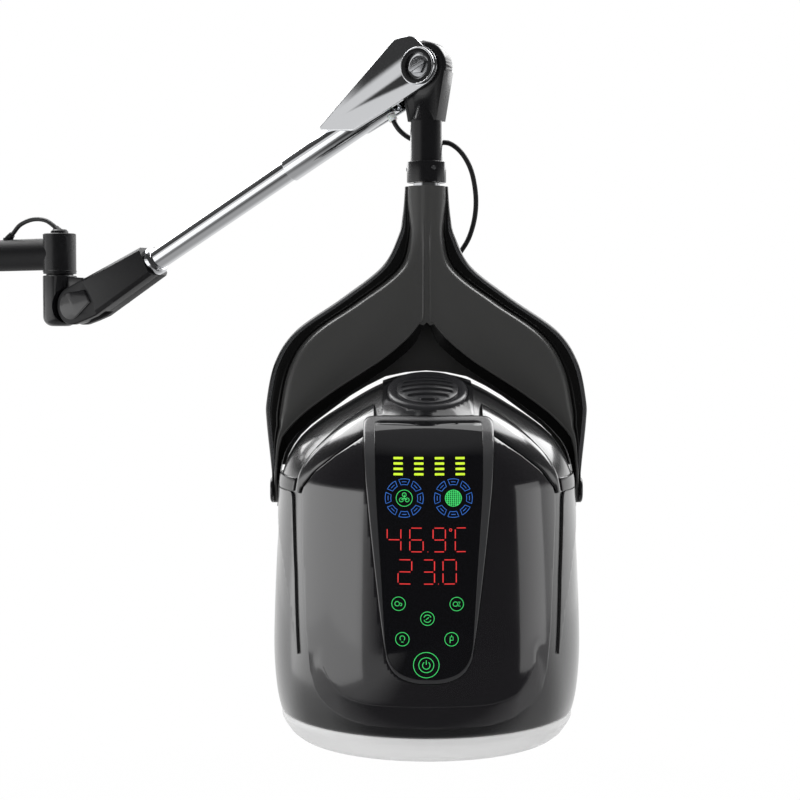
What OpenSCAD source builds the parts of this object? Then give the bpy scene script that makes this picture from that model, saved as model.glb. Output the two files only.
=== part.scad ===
// Wall-mounted hood dryer: wall bracket, boom, lift arm, hanger, yoke and tilting hood.
// The origin is the centre of the wall face, +X points into the room and +Z points up.

/* [Wall bracket] */
// Width of the wall plate
plate_w = 110; // [96:1:160]
// Height of the wall plate
plate_h = 190; // [172:1:240]
// Thickness of the wall plate
plate_t = 8; // [6:0.5:12]
// Distance between the screw holes across
screw_dx = 76; // [60:1:78]
// Distance between the screw holes up
screw_dz = 150; // [130:1:154]
// Diameter of the screw holes
screw_d = 9; // [6:0.5:10]
// Distance from the wall to the wall pin
wall_pin_x = 62; // [52:1:80]
// Thickness of the bracket's lugs
lug_t = 8; // [6:0.5:12]

/* [Boom] */
// Distance from the wall pin to the elbow pin
boom_length = 402; // [300:1:600]
// Diameter of the boom tube
boom_d = 43; // [38:0.5:43]
// Wall of the boom tube
boom_wall = 2.5; // [1.5:0.25:3.5]
// Diameter of the sockets at the boom's ends
socket_d = 44; // [44:0.5:50]
// Height of the sockets
socket_h = 54; // [50:1:62]
// Diameter of the wall pin and the elbow pin
pin_d = 20; // [18:0.5:21]
// Distance from the elbow pin back to the boom's lead gland
gland_back = 92; // [70:1:110]

/* [Lift arm] */
// Distance from the elbow pin to the lift pivot
lift_reach = 34; // [32:0.5:38]
// Depth of the lift pivot below the boom's axis
lift_drop = 70; // [68:0.5:76]
// Length of the arm between its two pivots
arm_length = 596; // [480:1:700]
// Rise of the arm above the horizontal, in degrees
arm_rise = 27.25; // [10:0.25:38]
// Diameter of the arm tube
arm_d = 28; // [26:0.5:29]
// Wall of the arm tube
arm_wall = 2; // [1.5:0.25:2.5]
// Depth of the arm tube's axis below the line between the pivots
tube_drop = 8; // [7:0.5:9]
// Distance between the pivots of the levelling rod and the arm
rod_drop = 14; // [13.5:0.25:15]
// Diameter of the levelling rod
rod_d = 5; // [4:0.5:5.5]
// Diameter of the lift bolt and the hub bolt
bolt_d = 12; // [10:0.5:12]
// Outer width of the shroud
shroud_w = 40; // [38:1:46]
// Length of the shroud from the lift pivot to its mouth
shroud_length = 137; // [120:1:160]
// Radius of the shroud's round end
cheek_r = 25; // [24:0.5:26]
// Thickness of the knuckle's tongue
tongue_t = 16; // [15:0.5:18]

/* [Head hanger] */
// Radius of the hanger's round head
hanger_r = 30; // [28:0.5:32]
// Thickness of the hanger's round head
hanger_t = 24; // [22:0.5:26]
// Diameter of the hanger tube
hanger_d = 38; // [36:0.5:40]
// Distance from the hub to the bottom of the collar
hanger_drop = 133; // [126:1:150]
// Height of the collar
collar_h = 24; // [20:1:28]
// Diameter of the collar
collar_d = 46; // [44:0.5:50]

/* [Yoke and hood] */
// Angle that the hood faces away from the arm's plane, in degrees
face_turn = 30; // [0:1:45]
// Height of the yoke's top above the tilt axis
yoke_rise = 355; // [355:1:370]
// Depth of the yoke in front of its middle plane
yoke_front_d = 24; // [22:1:28]
// Depth of the yoke behind its middle plane
yoke_rear_d = 36; // [34:1:44]
// Wall of the yoke's shells
yoke_wall = 2.5; // [2:0.25:3]
// Distance that the hood's own axis stands in front of the tilt axis
hood_forward = 25; // [22:1:28]
// Wall of the hood's shell
hood_wall = 3; // [2:0.25:4]
// Diameter of the tilt bolts
tilt_d = 10; // [8:0.5:11]
// Diameter of the supply lead
lead_d = 6; // [5:0.5:7]

/* [Hidden] */
$fn = 64;

// Fits: turning pins, pressed pieces, seats between pieces, and the gap beside moving walls
run_fit = 0.05;
press_fit = 0.02;
seat = 0.3;
side_gap = 0.3;

black = [0.05, 0.05, 0.06];
dark = [0.2, 0.2, 0.21];
grey = [0.42, 0.42, 0.43];
chrome = [0.86, 0.87, 0.89];
clear = [0.8, 0.85, 0.88];
steel = [0.6, 0.61, 0.63];
bronze = [0.6, 0.47, 0.28];

elbow_x = wall_pin_x + boom_length;
lift_x = elbow_x + lift_reach;
lift_z = -lift_drop;
hub_x = lift_x + arm_length * cos(arm_rise);
hub_z = lift_z + arm_length * sin(arm_rise);
collar_z = hub_z - hanger_drop;
neck_gap = 5;
neck_z = collar_z - neck_gap;
tilt_z = neck_z - yoke_rise;
flange_t = 2;
bush_wall = 3;
bush_r = pin_d / 2 + bush_wall;
rod_eye_r = rod_d / 2 + 2;
rod_eye_t = 6;
rod_pin_d = 5;
bolt_bush_r = bolt_d / 2 + 1.5;
swivel_d = 24;

// General shapes

// A ring standing on the XY plane
module ring(h, ro, ri) {
    difference() {
        cylinder(h = h, r = ro);
        translate([0, 0, -1]) cylinder(h = h + 2, r = ri);
    }
}

// A cylinder along Y between two values of Y
module y_cylinder(y0, y1, r) {
    translate([0, y1, 0]) rotate([90, 0, 0]) cylinder(h = y1 - y0, r = r);
}

// A cylinder along X between two values of X
module x_cylinder(x0, x1, r) {
    translate([x0, 0, 0]) rotate([0, 90, 0]) cylinder(h = x1 - x0, r = r);
}

// A flat outline drawn in X and Z, made solid between two values of Y
module front_extrude(y0, y1) {
    translate([0, y1, 0]) rotate([90, 0, 0]) linear_extrude(y1 - y0) children();
}

// A flat outline drawn in Y and Z, made solid between two values of X
module side_extrude(x0, x1) {
    translate([x0, 0, 0]) rotate([90, 0, 90]) linear_extrude(x1 - x0) children();
}

// A rectangle about the origin with round corners
module round_rect(w, h, r) {
    square([w - 2 * r, h], center = true);
    square([w, h - 2 * r], center = true);
    for (x = [-1, 1], y = [-1, 1]) {
        translate([x * (w / 2 - r), y * (h / 2 - r)]) circle(r = r);
    }
}

function catmull(a, b, c, d, t) = 0.5 * (2 * b + (c - a) * t + (2 * a - 5 * b + 4 * c - d) * t * t
    + (3 * b - a - 3 * c + d) * t * t * t);

// A smooth curve through all points but the first and the last, which only set its end directions
function curve(p, n) = concat([for (i = [1 : len(p) - 3], k = [0 : n - 1])
    catmull(p[i - 1], p[i], p[i + 1], p[i + 2], k / n)], [p[len(p) - 2]]);

function unit(v) = v / norm(v);

// A flat curve moved sideways: to its left for a positive distance, seen along the curve
function beside(p, d) = [for (i = [0 : len(p) - 1])
    let (t = unit(p[min(i + 1, len(p) - 1)] - p[max(i - 1, 0)])) p[i] + d * [-t.y, t.x]];

function reversed(p) = [for (i = [len(p) - 1 : -1 : 0]) p[i]];

function mirrored(p) = [for (q = p) [-q.x, q.y]];

// Frames that the pieces are drawn in

module at_lift() { translate([lift_x, 0, lift_z]) children(); }
module at_hub() { translate([hub_x, 0, hub_z]) children(); }
module along_arm() { at_lift() rotate([0, -arm_rise, 0]) children(); }
module along_arm_end() { at_hub() rotate([0, -arm_rise, 0]) children(); }
module in_yoke() { translate([hub_x, 0, tilt_z]) rotate([0, 0, face_turn]) children(); }
module in_hood() { in_yoke() translate([0, -hood_forward, 0]) children(); }
module both_sides() {
    children();
    mirror([1, 0, 0]) children();
}

// Wall bracket

lug_z = socket_h / 2 + flange_t + 0.2;
lug_r = socket_d / 2 + 3;

module wall_bracket() {
    color(black) difference() {
        union() {
            side_extrude(0, plate_t) round_rect(plate_w, plate_h, 10);
            for (z = [lug_z, -lug_z - lug_t]) translate([0, 0, z]) linear_extrude(lug_t) {
                translate([wall_pin_x, 0]) circle(r = lug_r);
                translate([plate_t - 1, -lug_r]) square([wall_pin_x - plate_t + 1, 2 * lug_r]);
            }
            for (s = [0, 1]) mirror([0, 0, s]) front_extrude(-4, 4) polygon([
                [plate_t - 1, lug_z + lug_t - 1], [wall_pin_x - 22, lug_z + lug_t - 1],
                [plate_t - 1, plate_h / 2 - 14]]);
        }
        for (y = [-1, 1], z = [-1, 1]) translate([0, y * screw_dx / 2, z * screw_dz / 2]) {
            x_cylinder(-1, plate_t + 1, screw_d / 2);
            x_cylinder(plate_t - 2, plate_t + 1, screw_d / 2 + 2);
        }
        translate([wall_pin_x, 0, -lug_z - lug_t - 1])
            cylinder(h = 2 * (lug_z + lug_t) + 2, r = pin_d / 2 + press_fit);
    }
}

module wall_pin() {
    color(steel) translate([wall_pin_x, 0, 0]) {
        translate([0, 0, -lug_z - lug_t - 4]) difference() {
            cylinder(h = 2 * lug_z + 2 * lug_t + 4, r = pin_d / 2);
            translate([0, 0, 1.2]) ring(1.6, pin_d, pin_d / 2 - 1);
        }
        translate([0, 0, lug_z + lug_t]) cylinder(h = 5, r = pin_d / 2 + 4);
        translate([0, 0, -lug_z - lug_t - 2.6]) ring(1.2, pin_d / 2 + 3.5, pin_d / 2 - 0.9);
    }
}

// Boom

// Depth of the flat that the lead's gland stands on
gland_flat = 1.2;

module boom_tube() {
    color(black) difference() {
        x_cylinder(wall_pin_x, elbow_x, boom_d / 2);
        x_cylinder(wall_pin_x - 1, elbow_x + 1, boom_d / 2 - boom_wall);
        for (x = [wall_pin_x, elbow_x]) translate([x, 0, -socket_h])
            cylinder(h = 2 * socket_h, r = socket_d / 2);
        translate([elbow_x - gland_back, 0, 0]) {
            cylinder(h = boom_d, r = lead_d / 2 + 2);
            translate([0, 0, boom_d / 2 - gland_flat]) cylinder(h = 9, r = lead_d / 2 + 4 + press_fit);
        }
    }
}

// The elbow socket's counterbore, which holds the retaining ring and the cap
counter_h = 10;
counter_wall = 3;
boom_bush_h = 18;

module boom_sockets() {
    color(black) for (x = [wall_pin_x, elbow_x]) translate([x, 0, -socket_h / 2]) difference() {
        union() {
            cylinder(h = socket_h, r = socket_d / 2);
            translate([0, 0, 3]) ring(1.2, socket_d / 2 + 0.6, bush_r + 1);
        }
        translate([0, 0, -1]) cylinder(h = socket_h + 2, r = bush_r + press_fit);
        if (x == elbow_x) translate([0, 0, socket_h - counter_h])
            cylinder(h = counter_h + 1, r = bush_r + counter_wall);
    }
}

module flanged_bush(h) {
    ring(h, bush_r, pin_d / 2 + run_fit);
    translate([0, 0, -flange_t]) ring(flange_t, bush_r + 5, pin_d / 2 + run_fit);
}

module boom_bushes() {
    color(bronze) {
        for (s = [0, 1]) translate([wall_pin_x, 0, 0]) mirror([0, 0, s])
            translate([0, 0, -socket_h / 2]) flanged_bush(boom_bush_h);
        translate([elbow_x, 0, -socket_h / 2]) flanged_bush(boom_bush_h);
        translate([elbow_x, 0, socket_h / 2 - counter_h - boom_bush_h])
            ring(boom_bush_h, bush_r, pin_d / 2 + run_fit);
    }
}

// The lead leaves the boom and enters the elbow cap through short necks that lean towards each other
neck_lean = 50;
gland_neck_h = 9;
cap_neck_h = 8.5;

module boom_gland() {
    color(black) translate([elbow_x - gland_back, 0, boom_d / 2]) difference() {
        union() {
            translate([0, 0, -boom_wall - 1]) cylinder(h = boom_wall + 2, r = lead_d / 2 + 2 - press_fit);
            translate([0, 0, -gland_flat]) cylinder(h = 3.7, r = lead_d / 2 + 4);
            translate([0, 0, 1]) rotate([0, neck_lean, 0])
                cylinder(h = gland_neck_h, r1 = lead_d / 2 + 2.4, r2 = lead_d / 2 + 1.4);
        }
        translate([0, 0, -8]) cylinder(h = 10, r = lead_d / 2 + press_fit + 0.4);
        translate([0, 0, 1]) rotate([0, neck_lean, 0]) cylinder(h = 20, r = lead_d / 2 + press_fit);
    }
}

cap_plug_h = 4.5;
cap_h = 10.8;
cap_neck_z = cap_h - 4;

module elbow_cap() {
    plug_r = bush_r + counter_wall - press_fit;
    color(black) translate([elbow_x, 0, socket_h / 2 - cap_plug_h]) difference() {
        union() {
            rotate_extrude() polygon([[0, 0], [plug_r, 0], [plug_r, cap_plug_h + 0.2], [12, 5], [11.4, 8],
                [9, cap_h - 0.6], [0, cap_h]]);
            translate([0, 0, cap_neck_z]) rotate([0, -neck_lean, 0])
                cylinder(h = cap_neck_h, r1 = lead_d / 2 + 2.4, r2 = lead_d / 2 + 1.4);
        }
        translate([0, 0, -1]) cylinder(h = cap_neck_z + 1, r = lead_d / 2 + press_fit);
        translate([0, 0, cap_neck_z]) sphere(r = lead_d / 2 + press_fit);
        translate([0, 0, cap_neck_z]) rotate([0, -neck_lean, 0]) cylinder(h = 20, r = lead_d / 2 + press_fit);
    }
}

// Elbow

knuckle_top = -socket_h / 2 - flange_t - seat;
knuckle_r = socket_d / 2 + 0.5;
knuckle_bottom = lift_z - 27;
pin_foot = -50;

function polar(r, a) = r * [cos(a), sin(a)];

// The slot for the levelling rod, drawn about the rod's pivot: it opens over all directions the rod takes
module rod_slot(low, high) {
    w = rod_eye_r + 1.5;
    far = 60;
    circle(r = w);
    polygon([polar(w, high + 90), polar(far, high) + polar(w, high + 90), polar(1.2 * far, (low + high) / 2),
        polar(far, low) + polar(w, low - 90), polar(w, low - 90)]);
}

module knuckle() {
    relief = cheek_r + 3.5;
    r_bottom = 13;
    color(black) difference() {
        union() {
            difference() {
                translate([elbow_x, 0, 0]) rotate_extrude() polygon(concat(
                    [[0, knuckle_top], [knuckle_r - 1, knuckle_top], [knuckle_r, knuckle_top - 1]],
                    [for (a = [0 : 10 : 90]) [knuckle_r - r_bottom + r_bottom * cos(a),
                        knuckle_bottom + r_bottom - r_bottom * sin(a)]], [[0, knuckle_bottom]]));
                for (s = [-1, 1]) at_lift() translate([0, s * (tongue_t / 2 + 25), 0])
                    y_cylinder(-25, 25, relief);
            }
            front_extrude(-tongue_t / 2, tongue_t / 2) {
                translate([lift_x, lift_z]) circle(r = cheek_r - 1);
                polygon([[elbow_x, knuckle_top - 1], [lift_x + 13, knuckle_top - 3.5],
                    [lift_x + 16, knuckle_top - 7], [lift_x + 20, lift_z + 12],
                    [lift_x, lift_z - cheek_r + 1], [elbow_x, lift_z - cheek_r + 1]]);
            }
        }
        at_lift() y_cylinder(-tongue_t, tongue_t, bolt_bush_r + press_fit);
        translate([lift_x, 0, lift_z - rod_drop]) {
            front_extrude(-rod_eye_t / 2 - side_gap, rod_eye_t / 2 + side_gap) rod_slot(-32, 45);
            y_cylinder(-tongue_t / 2 - 1, tongue_t / 2 + 1, rod_pin_d / 2 + press_fit);
        }
        translate([elbow_x, 0, pin_foot]) cylinder(h = 40, r = pin_d / 2 + press_fit);
        translate([elbow_x, 0, pin_foot - 22]) cylinder(h = 30, r = lead_d / 2 + 1.5);
    }
}

module elbow_pin() {
    ring_z = socket_h / 2 - counter_h + 0.2;
    color(steel) translate([elbow_x, 0, 0]) {
        difference() {
            translate([0, 0, pin_foot]) cylinder(h = ring_z + 4 - pin_foot, r = pin_d / 2);
            translate([0, 0, pin_foot - 1]) cylinder(h = 90, r = lead_d / 2 + 1.5);
            translate([0, 0, ring_z]) ring(1.6, pin_d, pin_d / 2 - 1);
        }
        translate([0, 0, ring_z + 0.1]) ring(1.3, bush_r + 1.5, pin_d / 2 - 0.9);
    }
}

module lift_bush() {
    color(bronze) at_lift() difference() {
        y_cylinder(-tongue_t / 2, tongue_t / 2, bolt_bush_r);
        y_cylinder(-tongue_t, tongue_t, bolt_d / 2 + run_fit);
    }
}

module rod_pin_lower() {
    color(steel) translate([lift_x, 0, lift_z - rod_drop])
        y_cylinder(-tongue_t / 2, tongue_t / 2, rod_pin_d / 2);
}

// Lift arm. Drawn with X along the line from the lift pivot to the hub.

pad_depth = 3;
slot_end = 42;
shroud_wall = 3.5;
bolt_head_h = 4.6;
pad_y = shroud_w / 2 - pad_depth;
bolt_seat_y = pad_y - bolt_head_h - 0.2;
bolt_head_r = bolt_d / 2 + 3.5;

// The shroud's side outline, inset by a distance
module shroud_outline(inset) {
    circle(r = cheek_r - inset);
    polygon([[0, cheek_r - inset], [20, 23 - inset], [46, 20 - inset], [shroud_length, 13 - inset],
        [shroud_length, inset - 27], [30, inset - 30.5], [10, inset - 27.5], [0, inset - cheek_r]]);
}

module cover_outline(inset) {
    circle(r = 18 - inset);
    polygon([[2, 18 - inset], [31 - inset, 7.5 - inset / 2], [32 - inset, inset - 11.5], [3, inset - 18]]);
}

module shroud_half(far) {
    along_arm() mirror([0, far, 0]) color(black) difference() {
        hull() {
            front_extrude(-shroud_w / 2 + 4.5, 0) shroud_outline(0);
            front_extrude(-shroud_w / 2, -shroud_w / 2 + 1) shroud_outline(4.5);
        }
        translate([-cheek_r - 1, -tongue_t / 2 - side_gap, -50])
            cube([slot_end + cheek_r + 1, tongue_t / 2 + side_gap + 1, 100]);
        front_extrude(-shroud_w / 2 + shroud_wall, 1) polygon([[slot_end - 1, 20 - shroud_wall],
            [shroud_length - 5, 13.5 - shroud_wall], [shroud_length - 5, shroud_wall - 27],
            [slot_end - 1, shroud_wall - 30]]);
        translate([0, 0, -tube_drop]) x_cylinder(slot_end, shroud_length + 1, arm_d / 2 + press_fit);
        front_extrude(-shroud_w, -pad_y) polygon([[-cheek_r - 1, 40], [30, 40], [36, 8], [39, -14], [30, -40],
            [-cheek_r - 1, -40]]);
        y_cylinder(-shroud_w, 1, bolt_d / 2 + press_fit);
        y_cylinder(-shroud_w, -bolt_seat_y, bolt_head_r + 1);
    }
    along_arm() mirror([0, far, 0]) color(black) difference() {
        front_extrude(-shroud_w / 2 + shroud_wall - 0.5, -0.01)
            translate([62, -29]) square([4, 47 - shroud_wall]);
        translate([0, 0, -tube_drop]) x_cylinder(50, 80, arm_d / 2 + press_fit);
    }
}

module shroud_near() { shroud_half(0); }
module shroud_far() { shroud_half(1); }

module pivot_covers() {
    color(dark) along_arm() for (s = [0, 1]) mirror([0, s, 0]) {
        front_extrude(-pad_y - 1.6, -pad_y) cover_outline(0);
        front_extrude(-pad_y - 2.6, -pad_y - 1.5) cover_outline(1);
    }
}

module lift_bolt() {
    color(steel) at_lift() {
        y_cylinder(-bolt_seat_y, bolt_seat_y + 4, bolt_d / 2);
        y_cylinder(-bolt_seat_y - bolt_head_h, -bolt_seat_y, bolt_head_r);
        difference() {
            translate([0, bolt_seat_y + bolt_head_h, 0]) rotate([90, 0, 0])
                cylinder(h = bolt_head_h, r = bolt_head_r, $fn = 6);
            y_cylinder(0, 40, bolt_d / 2 + press_fit);
        }
    }
}

module arm_collar() {
    r = arm_d / 2;
    color(chrome) along_arm() translate([shroud_length + 0.1, 0, -tube_drop]) rotate([0, 90, 0])
        difference() {
            rotate_extrude() polygon([[0, 0], [r + 5, 0], [r + 5, 6], [r + 3, 9], [r + 1, 9.8], [0, 9.8]]);
            translate([0, 0, -1]) cylinder(h = 12, r = r + press_fit);
        }
}

tube_start = 48;
tube_end = 58;
sleeve_length = 161;
sleeve_wall = 2.5;
lead_exit = 66;

module arm_tube() {
    color(chrome) along_arm() difference() {
        translate([0, 0, -tube_drop]) x_cylinder(tube_start, arm_length - tube_end, arm_d / 2);
        translate([0, 0, -tube_drop]) x_cylinder(tube_start - 1, arm_length, arm_d / 2 - arm_wall);
        translate([arm_length - lead_exit, 0, -tube_drop - arm_d]) cylinder(h = arm_d, r = lead_d / 2 + 1.5);
    }
}

// The spring that bears the hood's weight lies round the levelling rod, between two seats in the tube
module balance_spring() {
    outer = arm_d / 2 - arm_wall - 0.3;
    wire = 2.4;
    low = 80;
    high = arm_length - tube_end - sleeve_length + 1;
    color(steel) along_arm() translate([low, 0, -tube_drop]) rotate([0, 90, 0])
        ring(high - low, outer, outer - wire);
}

cheek_y = hanger_t / 2 + side_gap + 0.1;
cheek_t = 4;

module head_bracket() {
    sleeve_r = arm_d / 2 + sleeve_wall;
    color(chrome) along_arm_end() difference() {
        union() {
            translate([0, 0, -tube_drop]) x_cylinder(-tube_end - sleeve_length, -tube_end + 1, sleeve_r);
            for (s = [0, 1]) mirror([0, s, 0]) front_extrude(-cheek_y - cheek_t, -cheek_y) {
                circle(r = 23);
                polygon([[-150, 4], [-150, 8], [-19, 44], [-13, 45], [5, 38], [10, 33], [22, 5], [0, -22],
                    [-tube_end + 1, -tube_drop - sleeve_r + 2], [-110, -tube_drop - 8]]);
            }
            front_extrude(-cheek_y - 1, cheek_y + 1)
                polygon([[-150, 8], [-42, 37.7], [-42, 34.5], [-150, 4.5]]);
        }
        translate([0, 0, -tube_drop]) x_cylinder(-260, -tube_end, arm_d / 2 + press_fit);
        translate([-tube_end, 0, -tube_drop]) x_cylinder(-2, 30, arm_d / 2 - arm_wall);
        y_cylinder(-30, 30, bolt_d / 2 + press_fit);
        translate([-lead_exit, 0, -tube_drop - arm_d]) cylinder(h = arm_d, r = lead_d / 2 + 1.5);
    }
}

hub_y = cheek_y + cheek_t;
cup_r = 19.4;
cup_h = 7.5;

module hub_cup() {
    color(black) at_hub() for (s = [0, 1]) mirror([0, s, 0]) difference() {
        y_cylinder(-hub_y - cup_h, -hub_y, cup_r);
        y_cylinder(-hub_y - 20, -hub_y - 1.5, cup_r - 4);
        y_cylinder(-hub_y - 20, 0, bolt_d / 2 + press_fit);
    }
}

module hub_ring() {
    color(chrome) at_hub() for (s = [0, 1]) mirror([0, s, 0]) translate([0, -hub_y, 0]) rotate([90, 0, 0])
        rotate_extrude() polygon([[cup_r + press_fit, 0], [cup_r + 2.6, 0], [cup_r + 2.6, cup_h - 1],
            [cup_r + 1.8, cup_h + 0.3], [cup_r + 0.8, cup_h + 0.3], [cup_r + press_fit, cup_h - 0.6]]);
}

module hub_bolt() {
    head = hub_y + 1.5;
    color(steel) at_hub() {
        y_cylinder(-head - 1, head + 3, bolt_d / 2);
        y_cylinder(-head - 1.5, -head, 12);
        translate([0, -head - 1, 0]) rotate([90, 0, 0]) cylinder(h = 4, r = bolt_d / 2 + 3.2, $fn = 6);
        difference() {
            translate([0, head + 4.5, 0]) rotate([90, 0, 0]) cylinder(h = 4.5, r = bolt_d / 2 + 3.2, $fn = 6);
            y_cylinder(0, 40, bolt_d / 2 + press_fit);
        }
        rotate([0, -arm_rise, 0]) front_extrude(-head - 6.4, -head - 4.6) round_rect(22, 5, 2.4);
    }
}

lead_sleeve_h = 7;

module lead_sleeve() {
    color([0.85, 0.85, 0.84]) along_arm_end()
        translate([-lead_exit, 0, -tube_drop - arm_d / 2 - sleeve_wall - lead_sleeve_h]) difference() {
            union() {
                cylinder(h = lead_sleeve_h + 3, r = lead_d / 2 + 1.46);
                translate([0, 0, 1]) cylinder(h = lead_sleeve_h - 1.2, r = lead_d / 2 + 2.4);
            }
            translate([0, 0, -1]) cylinder(h = 20, r = lead_d / 2 + press_fit);
        }
}

module level_rod() {
    open_fit = 0.4;
    color(steel) translate([0, 0, -rod_drop]) difference() {
        union() {
            along_arm() x_cylinder(0, arm_length, rod_d / 2);
            at_lift() y_cylinder(-rod_eye_t / 2, rod_eye_t / 2, rod_eye_r);
            at_hub() y_cylinder(-rod_eye_t / 2, rod_eye_t / 2, rod_eye_r);
        }
        at_lift() y_cylinder(-rod_eye_t, rod_eye_t, rod_pin_d / 2 + run_fit);
        at_hub() y_cylinder(-rod_eye_t, rod_eye_t, rod_pin_d / 2 + open_fit);
    }
}

// Hanger

tube_top = -62;

module hanger_head() {
    edge = 5;
    color(black) at_hub() difference() {
        union() {
            rotate([90, 0, 0]) translate([0, 0, -hanger_t / 2]) rotate_extrude() polygon(concat([[0, 0]],
                [for (a = [0 : 15 : 90]) [hanger_r - edge + edge * sin(a), edge - edge * cos(a)]],
                [for (a = [0 : 15 : 90]) [hanger_r - edge + edge * cos(a), hanger_t - edge + edge * sin(a)]],
                [[0, hanger_t]]));
            front_extrude(-hanger_t / 2 + 1, hanger_t / 2 - 1) polygon([[-hanger_r + 0.6, -6],
                [hanger_r - 0.6, -6], [hanger_d / 2, tube_top], [-hanger_d / 2, tube_top]]);
            translate([0, 0, tube_top]) cylinder(h = 22, r1 = hanger_d / 2, r2 = hanger_t / 2 - 1);
            translate([0, 0, tube_top - 8]) cylinder(h = 12, r = hanger_d / 2 - 3 - press_fit);
        }
        y_cylinder(-hanger_t, hanger_t, bolt_bush_r + press_fit);
        translate([0, 0, -rod_drop]) {
            front_extrude(-rod_eye_t / 2 - side_gap, rod_eye_t / 2 + side_gap) rod_slot(148, 225);
            y_cylinder(-hanger_t, hanger_t, rod_pin_d / 2 + press_fit);
        }
    }
}

module hub_bush() {
    color(bronze) at_hub() difference() {
        y_cylinder(-hanger_t / 2, hanger_t / 2, bolt_bush_r);
        y_cylinder(-hanger_t, hanger_t, bolt_d / 2 + run_fit);
    }
}

module rod_pin_upper() {
    color(steel) at_hub() translate([0, 0, -rod_drop]) y_cylinder(-hanger_t / 2, hanger_t / 2, rod_pin_d / 2);
}

ledge_z = collar_z + 8;

module hanger_tube() {
    color(black) translate([hub_x, 0, ledge_z])
        ring(hub_z + tube_top - ledge_z, hanger_d / 2, hanger_d / 2 - 3);
}

module hanger_collar() {
    color(black) translate([hub_x, 0, collar_z]) difference() {
        rotate_extrude() polygon([[0, 0], [collar_d / 2 - 1, 0], [collar_d / 2, 1],
            [collar_d / 2, collar_h - 1], [collar_d / 2 - 1, collar_h], [0, collar_h]]);
        translate([0, 0, 8]) cylinder(h = collar_h, r = hanger_d / 2 + press_fit);
        translate([0, 0, -1]) cylinder(h = collar_h, r = swivel_d / 2 + 2.5 + press_fit);
        for (a = [200, 320]) rotate([0, 0, a]) translate([0, 0, 16])
            x_cylinder(hanger_d / 2, collar_d, 2.5 + press_fit);
    }
}

module collar_screws() {
    color(steel) translate([hub_x, 0, collar_z + 16]) for (a = [200, 320]) rotate([0, 0, a])
        x_cylinder(hanger_d / 2 + 0.2, collar_d / 2 + 0.8, 2.5);
}

module swivel_bushes() {
    color(bronze) translate([hub_x, 0, collar_z]) {
        ring(8, swivel_d / 2 + 2.5, swivel_d / 2 + run_fit);
        translate([0, 0, 8]) ring(flange_t, hanger_d / 2 - 3.1, swivel_d / 2 + run_fit);
        translate([0, 0, 44]) ring(10, hanger_d / 2 - 3 - press_fit, swivel_d / 2 + run_fit);
    }
}

clip_z = hub_z - 84;
clip_y = hanger_d / 2 + lead_d / 2 + 1.5;
clip_half = 4;

// The clip that holds the lead against the back of the hanger tube
module lead_clip() {
    color(black) translate([hub_x, 0, clip_z]) difference() {
        union() {
            front_extrude(hanger_d / 2 - 3, clip_y) square([8, lead_d + 4], center = true);
            translate([0, clip_y, 0]) x_cylinder(-clip_half, clip_half, lead_d / 2 + 2);
        }
        translate([0, 0, -20]) cylinder(h = 40, r = hanger_d / 2 + press_fit);
        translate([0, clip_y, 0]) x_cylinder(-5, 5, lead_d / 2 + press_fit);
    }
}

// Yoke. Drawn about the tilt axis, with -Y to the front.

pin_depth = 38;
boss_low = yoke_rise - pin_depth - 4;

module swivel_pin() {
    color(chrome) translate([hub_x, 0, collar_z]) {
        difference() {
            union() {
                translate([0, 0, -neck_gap - pin_depth])
                    cylinder(h = neck_gap + pin_depth + 60, r = swivel_d / 2);
                translate([0, 0, -neck_gap]) cylinder(h = neck_gap - 0.2, r = 15.6);
            }
            translate([0, 0, 54.3]) ring(1.8, swivel_d, swivel_d / 2 - 1);
        }
        translate([0, 0, 54.4]) ring(1.5, swivel_d / 2 + 2.5, swivel_d / 2 - 0.9);
    }
}

// The hood's outer profile: radius and height above the tilt axis
hood_top = 136;
hood_curve = curve([[-48, 128], [0, hood_top], [48, 128], [99, 100], [135, 75], [155, 52], [167, 23],
    [170, -10], [174, -74], [177, -150], [177, -190], [174, -225], [169, -248], [163, -262]], 5);

// Radius of the hood's outside, and of its inside, at a height
function hood_r(z) = lookup(z, [for (p = hood_curve) [p.y, p.x]]);
function hood_inner_r(z) = lookup(z, [for (p = beside(hood_curve, -hood_wall)) [p.y, p.x]]);

// The yoke's ends stand beside the hood, with room for its tilt
tilt_room = 4.2;
end_depth = 6.4;
yoke_in = hood_r(0) + tilt_room;
yoke_out = yoke_in + end_depth;
pivot_end = 15;

// The yoke's outer edge from its neck down to the tilt axis. Widths go from the neck's to the ends',
// and heights above the widest place follow the yoke's rise.
neck_half = 25.3;
wide_z = 105;
function yoke_point(w, h) = [neck_half + w * (yoke_out - neck_half), wide_z + h * (yoke_rise - wide_z)];
yoke_edge = curve([yoke_point(0, 1.1), yoke_point(0, 1), yoke_point(0.017, 0.868), yoke_point(0.05, 0.776),
    yoke_point(0.173, 0.632), yoke_point(0.476, 0.484), yoke_point(0.825, 0.332), yoke_point(0.987, 0.18),
    [yoke_out + 8, wide_z], [yoke_out + 8, 80], [yoke_out + 3.5, 36], [yoke_out, 0], [yoke_out - 1, -30]], 5);

// Half the yoke's width at a height
function yoke_half(z) = lookup(z, [for (p = reversed(yoke_edge)) [p.y, p.x]]);

// The yoke's inner edge from the crease under its neck down to the tilt axis, clear of the hood
crease_z = 197;
inner_edge = curve([[-14, 170], [0, crease_z], [14, 172], [38, 150], [62, 133], [102, 107], [138, 80],
    [161, 54], [yoke_in - 3.1, 28], [yoke_in, 0], [yoke_in + 0.4, -30]], 5);

bar_t = 3;
bar_in = yoke_out - yoke_wall - side_gap - bar_t;
washer_t = 2.4;

// Below this height the arms are open to the inside, where the frame's bars run
channel_z = 56;

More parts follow.
